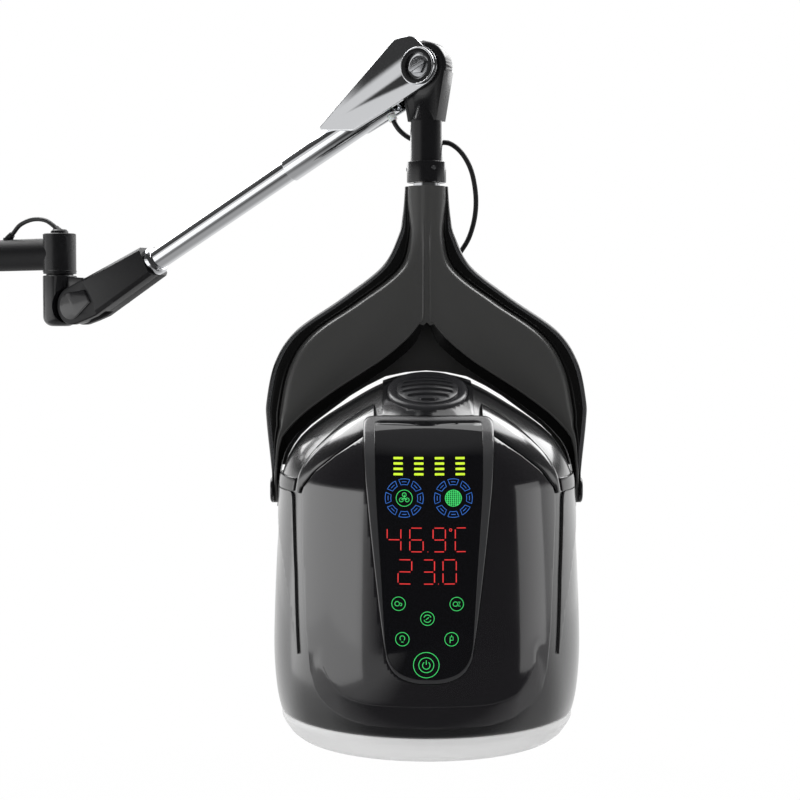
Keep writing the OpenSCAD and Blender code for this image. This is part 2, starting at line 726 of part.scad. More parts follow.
module yoke_outline(inset) {
    top = yoke_rise - inset;
    outer = concat([[neck_half - inset, top]], [for (q = beside(yoke_edge, -inset)) if (q.y < top - 1) q]);
    inner = [for (q = beside(inner_edge, inset)) if (q.x > 0.5)
        inset > 0 && q.y < channel_z ? q - [2 * inset, 0] : q];
    half = concat(outer, reversed(inner));
    polygon(concat(half, [[0, crease_z + 2 * inset]], reversed(mirrored(half))));
}

module yoke_side_profile(inset) {
    high = yoke_rise - 55;
    mid = yoke_rise - 105;
    neck = neck_half - 0.3 - inset;
    foot = pivot_end + 0.7 - inset;
    front = yoke_front_d - inset;
    rear = yoke_rear_d - inset;
    polygon([[-neck, yoke_rise + 5], [-neck, high], [-front, mid], [-front, 120], [-18 + inset, 40],
        [-foot, 0], [-foot, -20], [foot, -20], [foot, 0], [22 - inset, 40], [rear, 120], [rear, mid],
        [neck, high], [neck, yoke_rise + 5]]);
}

// The shells' common outer form, inset by a distance
module yoke_form(inset) {
    bulge = 1800;
    intersection() {
        union() {
            front_extrude(-60, 60) yoke_outline(inset);
            if (inset == 0) both_sides() x_cylinder(yoke_in, yoke_out + 1, pivot_end);
        }
        side_extrude(-200, 200) yoke_side_profile(inset);
        translate([0, bulge - yoke_front_d - 1 + inset, -40])
            cylinder(h = yoke_rise + 45, r = bulge, $fn = 128);
    }
}

// The bores for the tilt bolts, the flats under the caps and the pockets for the frame's ends
module pivot_bores() {
    x_cylinder(-200, 200, tilt_d / 2 + press_fit);
    both_sides() x_cylinder(yoke_out, 200, pivot_end + seat);
    both_sides() x_cylinder(yoke_in - 1, yoke_out - yoke_wall, pivot_end - 3.5);
}

module neck_bore() {
    translate([0, 0, boss_low - 1]) cylinder(h = 60, r = swivel_d / 2 + 5);
}

module yoke_front() {
    color(grey) in_yoke() difference() {
        intersection() {
            yoke_form(0);
            translate([-yoke_out - 20, -60, -40]) cube([2 * yoke_out + 40, 60, yoke_rise + 60]);
        }
        yoke_form(yoke_wall);
        neck_bore();
        pivot_bores();
    }
}

// The rear shell closes the yoke's back. Its inner flange follows the hood's outline behind the tilt axis.
flange_y = 20;

module yoke_rear() {
    low = [for (p = beside(hood_curve, 1)) if (p.x > 0.5 && p.y >= 24) p];
    high = [for (q = inner_edge) if (q.x > 0.5 && q.y >= 26) q + [1.2, 1.6]];
    half = concat(low, reversed(high));
    color(black) in_yoke() {
        difference() {
            intersection() {
                yoke_form(0);
                translate([-yoke_out - 20, 0, -40]) cube([2 * yoke_out + 40, 60, yoke_rise + 60]);
            }
            yoke_form(yoke_wall);
            neck_bore();
            pivot_bores();
            gland_body(press_fit);
        }
        front_extrude(flange_y, flange_y + yoke_wall)
            polygon(concat([[0, hood_top + 1]], half, [[0, crease_z + 2.5]], reversed(mirrored(half))));
    }
}

// The flat steel bars inside the yoke, from the swivel pin's boss down to the tilt bolts
module yoke_frame() {
    near = beside(yoke_edge, -yoke_wall - side_gap);
    far = beside(yoke_edge, -yoke_wall - side_gap - bar_t);
    bar_d = 18;
    bar_top = yoke_rise - 9;
    bridge_t = 6;
    bridge = yoke_half(boss_low + bridge_t) - yoke_wall - side_gap - 0.3;
    color(steel) in_yoke() difference() {
        union() {
            both_sides() front_extrude(-bar_d / 2, bar_d / 2) polygon(concat(
                [for (p = near) if (p.y < bar_top) p], reversed([for (p = far) if (p.y < bar_top) p])));
            translate([0, 0, boss_low]) cylinder(h = pin_depth, r = swivel_d / 2 + 4.5);
            translate([-bridge, -bar_d / 2, boss_low]) cube([2 * bridge, bar_d, bridge_t]);
            both_sides() x_cylinder(bar_in, bar_in + bar_t, pivot_end - 4);
        }
        translate([0, 0, boss_low - 1]) cylinder(h = 60, r = swivel_d / 2 + press_fit);
        x_cylinder(-200, 200, tilt_d / 2 + press_fit);
    }
}

module pivot_caps() {
    color(grey) in_yoke() both_sides() difference() {
        translate([yoke_out, 0, 0]) rotate([0, 90, 0]) rotate_extrude()
            polygon([[0, 0], [pivot_end, 0], [pivot_end, 1.6], [pivot_end - 1.6, 3.2], [0, 3.6]]);
        x_cylinder(yoke_out - 1, yoke_out + 2.2, tilt_d / 2 + 3.5);
    }
}

bolt_foot = yoke_in - 17.6;
tilt_boss_r = 13;

module tilt_bolts() {
    color(steel) in_yoke() both_sides() {
        x_cylinder(bolt_foot, yoke_out + 0.5, tilt_d / 2);
        x_cylinder(yoke_out, yoke_out + 2, tilt_d / 2 + 3);
        translate([bar_in - washer_t - 0.1, 0, 0]) rotate([0, 90, 0])
            ring(washer_t, tilt_d / 2 + 5, tilt_d / 2 + press_fit);
    }
}

// Turns +Z to a direction
module point_along(d) {
    rotate([0, acos(d.z), atan2(d.y, d.x)]) children();
}

// The lead's gland lies against the yoke's back and leans up and out
gland_seat = [30, yoke_rear_d - 1, yoke_rise - 89];
gland_dir = unit([0.6, 0.05, 0.8]);
gland_h = 12;

module gland_body(extra) {
    translate(gland_seat) point_along(gland_dir) {
        sphere(r = lead_d / 2 + 4 + extra);
        cylinder(h = gland_h, r1 = lead_d / 2 + 3 + extra, r2 = lead_d / 2 + 1.6 + extra);
    }
}

module yoke_gland() {
    color(black) in_yoke() difference() {
        gland_body(0);
        translate(gland_seat) point_along(gland_dir) {
            cylinder(h = 60, r = lead_d / 2 + press_fit);
            sphere(r = lead_d / 2 + press_fit);
        }
        translate([0, -1, 0]) front_extrude(-60, gland_seat.y - 6) translate([-60, 200]) square([200, 200]);
    }
}

// Hood. Drawn about its own axis, with -Y to the front and the tilt axis at Z = 0.

hood_bottom = -248;

// The hood's profile as a solid of revolution, moved outward by a distance
module hood_solid(out, low, high) {
    rotate_extrude($fn = 128) intersection() {
        polygon(concat([[0, hood_top + out]], [for (p = beside(hood_curve, out)) if (p.x > 0) p],
            [[hood_r(hood_bottom) + out, hood_bottom - 2], [0, hood_bottom - 2]]));
        translate([0, low]) square([220, high - low]);
    }
}

// A skin over the hood's outside, between two distances from it
module hood_skin(inner, outer, low, high) {
    difference() {
        hood_solid(outer, low, high);
        hood_solid(inner, low - 1, high + 1);
    }
}

vent_y = -57;
vent_r = 46;
grille_r = 35;
crown_w = 102;
panel_top = 94;
panel_bottom = -187;

// The control panel's outline: half its width at the top and near its foot, inset by a distance
module panel_outline(inset) {
    top_w = 70.5 - inset;
    low_w = 47.5 - inset;
    r = 9 - min(inset, 6);
    top = panel_top - inset;
    foot = panel_bottom + inset;
    half = [[0, top], [top_w - r, top], [top_w - 0.3 * r, top - 0.3 * r], [top_w, top - r],
        [66 - inset, 10], [57 - inset, -75], [low_w, -150], [low_w - 5, -168],
        [low_w - 14, -178 + inset * 0.5], [19 - inset / 2, foot + 3], [0, foot]];
    polygon(concat(half, reversed(mirrored(half))));
}

// The panel's flatter front: a surface of revolution about an axis set back from the hood's own
panel_back = 110;
panel_out = 5;

module panel_solid(out) {
    translate([0, panel_back, 0]) rotate_extrude($fn = 128) polygon(concat([[0, 120]],
        [for (p = hood_curve) if (p.y < 108 && p.y > -215) p + [panel_back + panel_out + out, 0]],
        [[0, -215]]));
}

module hood_shell() {
    color(black) in_hood() difference() {
        hood_solid(0, hood_bottom, 150);
        hood_solid(-hood_wall, hood_bottom - 1, 150);
        front_extrude(-220, -60) panel_outline(8);
        translate([0, vent_y, 60]) cylinder(h = 90, r = grille_r - 1);
        translate([0, hood_forward, 0]) x_cylinder(-200, 200, tilt_boss_r + 0.1);
    }
}

module crown_panel() {
    color(black) in_hood() difference() {
        intersection() {
            hood_skin(0.3, 2.6, 60, 150);
            translate([-crown_w / 2, -140, 60]) cube([crown_w, 210, 90]);
        }
        translate([0, vent_y, 60]) cylinder(h = 90, r = vent_r + 0.2);
        front_extrude(-220, -60) panel_outline(-0.5);
    }
}

module vent_ring() {
    color(dark) in_hood() intersection() {
        hood_skin(0.3, 4.6, 60, 150);
        translate([0, vent_y, 60]) ring(90, vent_r, grille_r);
    }
}

module vent_grille() {
    slot_w = 4.4;
    pitch = 9.6;
    color(dark) in_hood() difference() {
        intersection() {
            hood_skin(0.3, 3, 60, 150);
            translate([0, vent_y, 60]) cylinder(h = 90, r = grille_r - 0.1);
        }
        for (i = [-3 : 3]) {
            half = sqrt(pow(grille_r - 5, 2) - pow(i * pitch, 2)) - slot_w / 2;
            translate([0, vent_y + i * pitch, 60]) linear_extrude(90) {
                square([2 * half, slot_w], center = true);
                for (s = [-1, 1]) translate([s * half, 0]) circle(d = slot_w);
            }
        }
    }
}

// Half of the raised mask's outline, from the crown down its side to its foot
mask_side = [[101, 52], [122, 35], [137, 16], [140, 8], [138, -60], [134, -140], [128, -190], [122, -203],
    [110, -217], [92, -228], [62, -232], [0, -232]];

module mask_outline() {
    half = concat([[0, 82], [60, 80]], mask_side);
    polygon(concat(half, reversed(mirrored(half))));
}

module front_mask() {
    color(black) in_hood() difference() {
        intersection() {
            hood_skin(0.3, 5, -240, 100);
            front_extrude(-230, -40) mask_outline();
        }
        front_extrude(-230, -40) panel_outline(-0.3);
    }
}

// The black lip that stands along the mask's upper edge
module mask_lip() {
    low = [[60, 80.3], [101, 52.3], [122, 35.3], [137, 16.3], [140.3, 8]];
    high = [[147, 10], [141, 30], [123, 54], [101, 71.5], [60, 99.5]];
    color(black) in_hood() both_sides() difference() {
        intersection() {
            hood_skin(0.3, 7, -10, 110);
            front_extrude(-230, -40) polygon(concat(low, high));
        }
        front_extrude(-230, -40) panel_outline(-0.3);
        translate([-crown_w / 2 - 0.3, -200, 60]) cube([crown_w + 0.6, 260, 90]);
    }
}

module side_blades() {
    color(dark) in_hood() both_sides() intersection() {
        hood_skin(0.3, 3.6, -190, 20);
        side_extrude(60, 200) polygon([[-12, 8], [-80, 8], [-97, -80], [-108, -172], [-92, -120], [-60, -60],
            [-30, -22]]);
    }
}

// The black blocks on the hood's sides that turn on the tilt bolts
tilt_fit = 0.15;

module pivot_blocks() {
    washer_seat = bar_in - 0.1 - washer_t - seat;
    color(black) in_hood() both_sides() difference() {
        union() {
            intersection() {
                hood_skin(0.3, 3, -30, 40);
                side_extrude(60, 200) polygon([[-84.4, 9], [-84.4, 24], [46, 24], [46, -16], [-10, -16],
                    [-10, 9]]);
            }
            translate([0, hood_forward, 0]) x_cylinder(bolt_foot, washer_seat, tilt_boss_r);
        }
        translate([0, hood_forward, 0]) {
            x_cylinder(100, 200, tilt_d / 2 + tilt_fit);
            x_cylinder(washer_seat, 200, tilt_boss_r + 1);
        }
    }
}

bezel_w = 7;

module panel_bezel() {
    color(black) in_hood() difference() {
        intersection() {
            panel_solid(0);
            front_extrude(-230, -40) panel_outline(0);
        }
        hood_solid(0.3, -240, 130);
        front_extrude(-230, -40) panel_outline(bezel_w);
    }
}

module panel_glass() {
    color([0.02, 0.02, 0.03]) in_hood() intersection() {
        difference() {
            panel_solid(-1);
            panel_solid(-4);
        }
        front_extrude(-230, -40) panel_outline(bezel_w + 0.1);
    }
}

module display_board() {
    color([0.05, 0.3, 0.15]) in_hood() intersection() {
        difference() {
            panel_solid(-4.3);
            panel_solid(-5.9);
        }
        front_extrude(-230, -40) panel_outline(14);
    }
}

module clear_rim() {
    r = hood_r(hood_bottom);
    color(clear, 0.5) in_hood() translate([0, 0, hood_bottom]) rotate_extrude($fn = 128)
        polygon([[r - 0.5, -0.2], [r - 4, -14], [r - 11, -24], [r - 19, -30], [r - 20.5, -27.4],
            [r - 13, -22], [r - 7, -13], [r - 6.4, 8], [r - 3.7, 8], [r - 3.5, -0.2]]);
}

liner_curve = curve([[-60, 58], [0, 64], [60, 56], [108, 30], [138, -28], [151, -120], [157, -225],
    [158, -245]], 5);
liner_wall = 2.5;

module inner_liner() {
    outer = liner_curve;
    inner = beside(liner_curve, -liner_wall);
    foot_z = -228;
    color(dark) in_hood() difference() {
        union() {
            rotate_extrude($fn = 128) polygon(concat([[0, 64]], [for (p = outer) if (p.x > 0) p],
                reversed([for (p = inner) if (p.x > 0) p]), [[0, 64 - liner_wall]]));
            translate([0, 0, foot_z]) ring(3, hood_r(foot_z) - hood_wall - seat, 155);
        }
        for (i = [0 : 11]) rotate([0, 0, 15 + 30 * i]) {
            translate([118, 0, 16]) rotate([0, 50, 0]) cylinder(h = 60, r = 7, center = true);
            translate([78, 0, 0]) cylinder(h = 90, r = 6);
        }
        cylinder(h = 90, r = 22);
    }
}

plate_z = 88;

module motor_plate() {
    color(steel) in_hood() difference() {
        translate([0, 0, plate_z]) cylinder(h = 2, r = hood_inner_r(plate_z + 2) - seat);
        translate([0, 0, plate_z - 1]) cylinder(h = 4, r = 9);
        for (a = [30 : 60 : 330]) rotate([0, 0, a]) translate([62, 0, plate_z - 1]) cylinder(h = 4, r = 14);
    }
}

shaft_d = 8;

module fan_motor() {
    color(steel) in_hood() difference() {
        union() {
            translate([0, 0, plate_z + 2]) cylinder(h = 30, r = 27);
            translate([0, 0, plate_z + 2]) cylinder(h = 3, r = 33);
            translate([0, 0, plate_z + 32]) cylinder(h = 5, r = 14);
        }
        translate([0, 0, plate_z]) cylinder(h = 32, r = shaft_d / 2 + run_fit);
    }
}

module heater_ring() {
    color([0.75, 0.6, 0.4]) in_hood() {
        translate([0, 0, 72]) ring(8, 90, 80);
        for (a = [0 : 120 : 240]) rotate([0, 0, a]) translate([85, 0, 79]) cylinder(h = plate_z - 79, r = 3);
        for (z = [74, 78]) translate([0, 0, z]) rotate_extrude() translate([78.2, 0]) circle(r = 2.2);
    }
}

module fan_impeller() {
    color(dark) in_hood() {
        low = plate_z - 18;
        translate([0, 0, low]) cylinder(h = 16, r = 11);
        translate([0, 0, low]) cylinder(h = plate_z + 30 - low, r = shaft_d / 2);
        translate([0, 0, low + 14]) cylinder(h = 2, r = 58);
        translate([0, 0, low]) ring(2, 58, 46);
        for (i = [0 : 15]) rotate([0, 0, i * 22.5]) translate([44, -6, low + 0.5]) rotate([0, 0, 32])
            cube([15, 1.6, 15]);
    }
}

// Leads: tubes swept along hand-chosen points

function path_curve(p, n) = curve(concat([2 * p[0] - p[1]], p, [2 * p[len(p) - 1] - p[len(p) - 2]]), n);

function path_tangent(p, i) = unit(p[min(i + 1, len(p) - 1)] - p[max(i - 1, 0)]);

// Each ring's side direction, carried along the path without twist
function path_sides(p, i, u) = let (t = path_tangent(p, i), v = unit(u - (u * t) * t))
    i == len(p) - 1 ? [v] : concat([v], path_sides(p, i + 1, v));

module lead(points, steps) {
    sides = 10;
    p = path_curve(points, steps);
    start = abs(path_tangent(p, 0).y) < 0.9 ? [0, 1, 0] : [1, 0, 0];
    u = path_sides(p, 0, start);
    rings = [for (i = [0 : len(p) - 1], k = [0 : sides - 1])
        let (w = cross(path_tangent(p, i), u[i]), a = 360 * k / sides)
        p[i] + lead_d / 2 * (cos(a) * u[i] + sin(a) * w)];
    last = (len(p) - 1) * sides;
    faces = concat([[for (k = [0 : sides - 1]) sides - 1 - k]], [[for (k = [0 : sides - 1]) last + k]],
        [for (i = [0 : len(p) - 2], k = [0 : sides - 1])
            let (a = i * sides + k, b = i * sides + (k + 1) % sides) [a, b, b + sides, a + sides]]);
    polyhedron(points = rings, faces = [for (f = faces) reversed(f)], convexity = 6);
}

// The short lead from the boom to the elbow cap, drawn from the elbow pin
boom_end = [-gland_back, 0, boom_d / 2 + 1] + gland_neck_h * [sin(neck_lean), 0, cos(neck_lean)];
cap_end = [0, 0, socket_h / 2 - cap_plug_h + cap_neck_z] + cap_neck_h * [-sin(neck_lean), 0, cos(neck_lean)];
boom_lead_points = [boom_end, boom_end + 4 * [sin(neck_lean), 0, cos(neck_lean)],
    [boom_end.x + 14, 0, cap_end.z + 5.7], [boom_end.x + 31, 0, cap_end.z + 11.8],
    [-38, 0, cap_end.z + 13.1], [-23, 0, cap_end.z + 10.4],
    cap_end + 6 * [-sin(neck_lean), 0, cos(neck_lean)], cap_end];

module lead_boom() {
    color(black) translate([elbow_x, 0, 0]) lead(boom_lead_points, 3);
}

// The supply lead from the arm to the clip, drawn from the hub
sleeve_dir = [sin(arm_rise), 0, -cos(arm_rise)];
sleeve_end = (tube_drop + arm_d / 2 + sleeve_wall + lead_sleeve_h) * sleeve_dir
    - lead_exit * [cos(arm_rise), 0, sin(arm_rise)];
clip_end = [-clip_half, clip_y, clip_z - hub_z];
upper_points = [sleeve_end, sleeve_end + 5 * sleeve_dir, clip_end + [-33, -21.3, 14],
    clip_end + [-26.2, -15.9, 7.2], clip_end + [-18.2, -9.5, 2.6], clip_end + [-10, -4.1, 0.4], clip_end];

// The supply lead from the clip to the yoke's gland, about the swivel axis: X, Y and the part of the drop
lower_start = [clip_half * cos(face_turn) + clip_y * sin(face_turn),
    clip_y * cos(face_turn) - clip_half * sin(face_turn), 0];
lower_path = [lower_start, lower_start + [4.3, -2.5, 0.002], [26.8, 12.6, 0.012], [34.6, 9.6, 0.049],
    [42, 7.4, 0.107], [48.4, 6.2, 0.184], [53.4, 6.2, 0.277], [56.8, 7.8, 0.393], [58.4, 11, 0.517],
    [57.6, 16.2, 0.64], [54.4, 23, 0.757], [49, 29.8, 0.865]];
gland_end = gland_seat + gland_h * gland_dir + [0, 0, tilt_z];
lower_points = concat([for (q = lower_path) [q.x, q.y, clip_z + q.z * (gland_end.z - clip_z)]],
    [gland_end + 3.5 * gland_dir, gland_end]);

module lead_upper() {
    color(black) at_hub() lead(upper_points, 3);
}

module lead_lower() {
    color(black) translate([hub_x, 0, 0]) rotate([0, 0, face_turn]) lead(lower_points, 3);
}

wall_bracket();
wall_pin();
boom_tube();
boom_sockets();
boom_bushes();
boom_gland();
elbow_cap();
knuckle();
elbow_pin();
lift_bush();
rod_pin_lower();
shroud_near();
shroud_far();
pivot_covers();
lift_bolt();
arm_collar();
arm_tube();
balance_spring();
head_bracket();
hub_cup();
hub_ring();
hub_bolt();
lead_sleeve();
level_rod();
hanger_head();
hub_bush();
rod_pin_upper();
hanger_tube();
hanger_collar();
collar_screws();
swivel_bushes();
lead_clip();
swivel_pin();
yoke_frame();
yoke_front();
yoke_rear();
pivot_caps();
tilt_bolts();
yoke_gland();
hood_shell();
crown_panel();
vent_ring();
vent_grille();
front_mask();
mask_lip();
side_blades();
pivot_blocks();
panel_bezel();
panel_glass();
display_board();
clear_rim();
inner_liner();
motor_plate();
fan_motor();
heater_ring();
fan_impeller();
lead_boom();
lead_upper();
lead_lower();
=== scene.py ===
from math import cos, dist, exp, hypot, pi, radians, sin, sqrt
import bpy
from mathutils import Matrix, Vector


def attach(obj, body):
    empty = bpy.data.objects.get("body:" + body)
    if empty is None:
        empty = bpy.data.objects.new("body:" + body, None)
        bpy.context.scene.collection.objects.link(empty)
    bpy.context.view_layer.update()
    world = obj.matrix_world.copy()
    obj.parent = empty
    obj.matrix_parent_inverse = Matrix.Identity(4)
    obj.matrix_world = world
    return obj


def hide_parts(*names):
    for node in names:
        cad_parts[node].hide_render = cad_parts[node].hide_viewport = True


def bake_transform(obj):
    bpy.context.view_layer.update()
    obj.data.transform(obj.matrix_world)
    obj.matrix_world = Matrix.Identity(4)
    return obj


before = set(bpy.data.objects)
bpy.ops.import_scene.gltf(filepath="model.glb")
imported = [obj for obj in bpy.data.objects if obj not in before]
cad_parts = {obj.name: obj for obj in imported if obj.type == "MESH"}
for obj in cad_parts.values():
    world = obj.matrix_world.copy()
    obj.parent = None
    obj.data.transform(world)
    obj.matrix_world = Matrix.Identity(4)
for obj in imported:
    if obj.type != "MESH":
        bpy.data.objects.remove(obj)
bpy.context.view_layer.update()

bpy.ops.object.select_all(action="DESELECT")
scene = bpy.context.scene
MM = 0.001
WELD = 2e-6


def shift(x, y, z):
    """A move, in millimetres."""
    return Matrix.Translation((x * MM, y * MM, z * MM))


def about(axis, degrees):
    return Matrix.Rotation(radians(degrees), 4, axis)


# Places, as in the part: the boom's two sockets, the arm's two pivots, the swivel axis, the tilt axis and the
# hood's own axis
WALL_X, ELBOW_X = 62, 464
LIFT_X, LIFT_Z = 498, -70
ARM_LENGTH, HUB_TO_COLLAR, COLLAR_TO_TILT = 0.596, 0.133, 0.360
RISE = radians(27.25)
TURN = radians(30)
UP_THE_ARM = Vector((cos(RISE), 0, sin(RISE)))
LIFT = Vector((LIFT_X * MM, 0, LIFT_Z * MM))
HUB = LIFT + ARM_LENGTH * UP_THE_ARM
COLLAR_Z = HUB.z - HUB_TO_COLLAR
TILT_Z = COLLAR_Z - COLLAR_TO_TILT
SWIVEL = Matrix.Translation((HUB.x, 0, COLLAR_Z))
TUBE = Matrix.Translation(LIFT) @ Matrix.Rotation(-RISE, 4, "Y") @ shift(0, 0, -8) @ about("Y", 90)
ARM_END = Matrix.Translation(HUB) @ Matrix.Rotation(-RISE, 4, "Y")
IN_YOKE = Matrix.Translation((HUB.x, 0, TILT_Z)) @ Matrix.Rotation(TURN, 4, "Z")
IN_HOOD = IN_YOKE @ shift(0, -25, 0)

# Directions seen from the hood: to the camera, and to the camera's right
FRONT = Vector((sin(TURN), -cos(TURN), 0))
RIGHT = Vector((cos(TURN), sin(TURN), 0))

# Camera, on a level with the hood's crown and square to its panel

camera_data = bpy.data.cameras.new("camera")
camera_data.lens = 73.7
camera_data.sensor_width = 36
camera_data.clip_end = 50
camera = bpy.data.objects.new("camera", camera_data)
camera.location = (1.9635, -1.6826, -0.102)
camera.rotation_euler = (radians(90 - 2.45), 0, TURN)
scene.collection.objects.link(camera)
scene.camera = camera


# Hand tools. Lengths are in millimetres, and flat outlines are drawn on the board, the XY plane.

def only(obj):
    bpy.ops.object.select_all(action="DESELECT")
    obj.select_set(True)
    bpy.context.view_layer.objects.active = obj


def pick_all():
    bpy.ops.mesh.select_all(action="SELECT")


def open_up(obj):
    only(obj)
    bpy.ops.object.mode_set(mode="EDIT")
    pick_all()


def close_up():
    bpy.ops.object.mode_set(mode="OBJECT")


def close_outward():
    pick_all()
    bpy.ops.mesh.normals_make_consistent(inside=False)
    close_up()


def put(obj, place=Matrix.Identity(4)):
    """Brings a piece to its place, and leaves the place in its mesh."""
    obj.matrix_world = place @ obj.matrix_world
    only(obj)
    bpy.ops.object.transform_apply(location=True, rotation=True, scale=True)
    return obj


def use(obj, kind, **values):
    """Adds one modifier and applies it."""
    only(obj)
    modifier = obj.modifiers.new(kind, kind)
    for key, value in values.items():
        setattr(modifier, key, value)
    bpy.ops.object.modifier_apply(modifier=modifier.name)


def smooth(obj, angle=40):
    only(obj)
    bpy.ops.object.shade_smooth_by_angle(angle=radians(angle))
    return obj


def eased(obj, width, segments=3, sharp=35):
    """Rounds the sharp edges and shades the rest smooth."""
    if width:
        use(obj, "BEVEL", width=width * MM, segments=segments, limit_method="ANGLE",
            angle_limit=radians(sharp), miter_outer="MITER_ARC", use_clamp_overlap=True)
    return smooth(obj, 50)


def cut_out(obj, cutter, operation="DIFFERENCE"):
    use(obj, "BOOLEAN", operation=operation, object=cutter, solver="EXACT")
    bpy.data.objects.remove(cutter)
    return obj


def ease(t):
    t = min(1, max(0, t))
    return t * t * (3 - 2 * t)


def catmull(a, b, c, d, t):
    return 0.5 * (2 * b + (c - a) * t + (2 * a - 5 * b + 4 * c - d) * t * t
                  + (3 * b - a - 3 * c + d) * t ** 3)


def curve(points, n):
    """A smooth line through the points, of which the first and the last only set its end directions."""
    p = [Vector(q) for q in points]
    return [catmull(*p[i:i + 4], k / n) for i in range(len(p) - 3) for k in range(n)] + [p[-2]]


def through(points, n):
    """A smooth line through all of the points."""
    return curve(points[:1] + points + points[-1:], n)


def arc(x, y, r, start=0, stop=360, steps=24):
    return [(x + r * cos(radians(start + (stop - start) * k / steps)),
             y + r * sin(radians(start + (stop - start) * k / steps))) for k in range(steps + 1)]


def beside(points, d):
    """A flat line moved sideways, to its left for a positive distance."""
    out = []
    for i, q in enumerate(points):
        t = (points[min(i + 1, len(points) - 1)] - points[max(i - 1, 0)]).normalized()
        out.append(q + d * Vector((-t.y, t.x)))
    return out


def side_round(points, r, n):
    """Rounds the corners of an outline: each corner is replaced by a short curve."""
    out = []
    p = [Vector(q) for q in points]
    for i, q in enumerate(p):
        a, b = p[i - 1] - q, p[(i + 1) % len(p)] - q
        reach = min(r, a.length * 0.45, b.length * 0.45)
        start, stop = q + a.normalized() * reach, q + b.normalized() * reach
        for k in range(n + 1):
            t = k / n
            out.append(tuple((1 - t) ** 2 * start + 2 * t * (1 - t) * q + t * t * stop))
    return out


def both(half):
    """A closed outline from its right half, given from the top down."""
    return half + [(-x, y) for x, y in reversed(half) if abs(x) > 0.01]


def span(half):
    """An open line from side to side, from its right half, given towards the middle."""
    return [(-x, y) for x, y in half] + half[-2::-1]


def named(name):
    """The piece just made, under its name."""
    obj = bpy.context.object
    obj.name = obj.data.name = name
    return obj


def wire(name, paths, r=0, sides=0, closed=False):
    """Wires along paths: bare edges, or round ones with a radius."""
    bpy.ops.curve.primitive_bezier_curve_add()
    data = bpy.context.object.data
    data.splines.clear()
    for path in paths:
        spline = data.splines.new("POLY")
        spline.points.add(len(path) - 1)
        for spot, q in zip(spline.points, path):
            spot.co = Vector([c * MM for c in q]).to_4d()
        spline.use_cyclic_u = closed
    data.dimensions = "3D"
    data.bevel_depth, data.bevel_resolution = r * MM, sides
    data.use_fill_caps = True
    bpy.ops.object.convert(target="MESH")
    return named(name)


def turned(name, profile, steps=96):
    """A piece turned on the lathe about the Z axis, from the radius and height of its profile."""
    on_axis = abs(profile[0][0]) < WELD and abs(profile[-1][0]) < WELD
    obj = put(wire(name, [profile], closed=not on_axis), about("X", 90))
    open_up(obj)
    bpy.ops.mesh.spin(steps=steps, angle=2 * pi, center=(0, 0, 0), axis=(0, 0, 1))
    pick_all()
    bpy.ops.mesh.remove_doubles(threshold=0.5 * WELD)
    close_outward()
    return obj


def raised(obj, depth):
    """Raises a flat sheet that is open for editing, and closes it."""
    pick_all()
    bpy.ops.mesh.extrude_region_move(TRANSFORM_OT_translate={"value": (0, 0, depth * MM)})
    close_outward()
    return obj


def plate(name, outline, depth):
    """A sheet cut to an outline, raised by its depth."""
    obj = wire(name, [outline], closed=True)
    open_up(obj)
    bpy.ops.mesh.edge_face_add()
    return raised(obj, depth)


def band(name, outer, inner, depth):
    """A frame between two outlines, raised by its depth."""
    hole = wire("hole", [inner], closed=True)
    obj = wire(name, [outer], closed=True)
    hole.select_set(True)
    bpy.ops.object.join()
    open_up(obj)
    bpy.ops.mesh.bridge_edge_loops()
    return raised(obj, depth)


def lathed(name, profile, place, body, made, node, steps=96):
    """A turned piece that needs no more work, in its place."""
    fit(put(smooth(turned(name, profile, steps)), place), body, made, node)


def round_bar(name, r, depth, at=(0, 0, 0), angles=(0, 0, 0), sides=96):
    bpy.ops.mesh.primitive_cylinder_add(
        vertices=sides, radius=r * MM, depth=depth * MM, location=[c * MM for c in at], rotation=angles)
    return put(named(name))


def gridded(obj, step):
    """Scores a sheet with a grid of cuts, so that it can bend."""
    places = [v.co.copy() for v in obj.data.vertices]
    spans = [(min(p[k] for p in places), max(p[k] for p in places)) for k in (0, 1)]
    open_up(obj)
    for (low, high), way in zip(spans, (Vector((1, 0, 0)), Vector((0, 1, 0)))):
        count = max(1, int((high - low) / (step * MM)))
        for i in range(1, count):
            pick_all()
            bpy.ops.mesh.bisect(plane_co=(low + (high - low) * i / count) * way, plane_no=way)
    pick_all()
    bpy.ops.mesh.remove_doubles(threshold=WELD)
    close_up()
    return obj


def shaped(obj, rule):
    """Bends a sheet: rule gives the new place of a point from the board."""
    for v in obj.data.vertices:
        v.co = rule(v.co / MM) * MM
    obj.data.update()
    return obj


def laid(obj, rule, step, low):
    """Lays a sheet over the hood by a rule, at a distance from it."""
    put(obj, shift(0, 0, low))
    return put(smooth(shaped(gridded(obj, step), rule)), IN_HOOD)


def wrapped(name, outline, low, high, rule, step, edge, hole=None):
    """A sheet with eased edges, laid over the hood between two distances from it."""
    obj = plate(name, outline, high - low)
    if hole:
        cut_out(obj, hole)
    return laid(eased(obj, edge), rule, step, low)


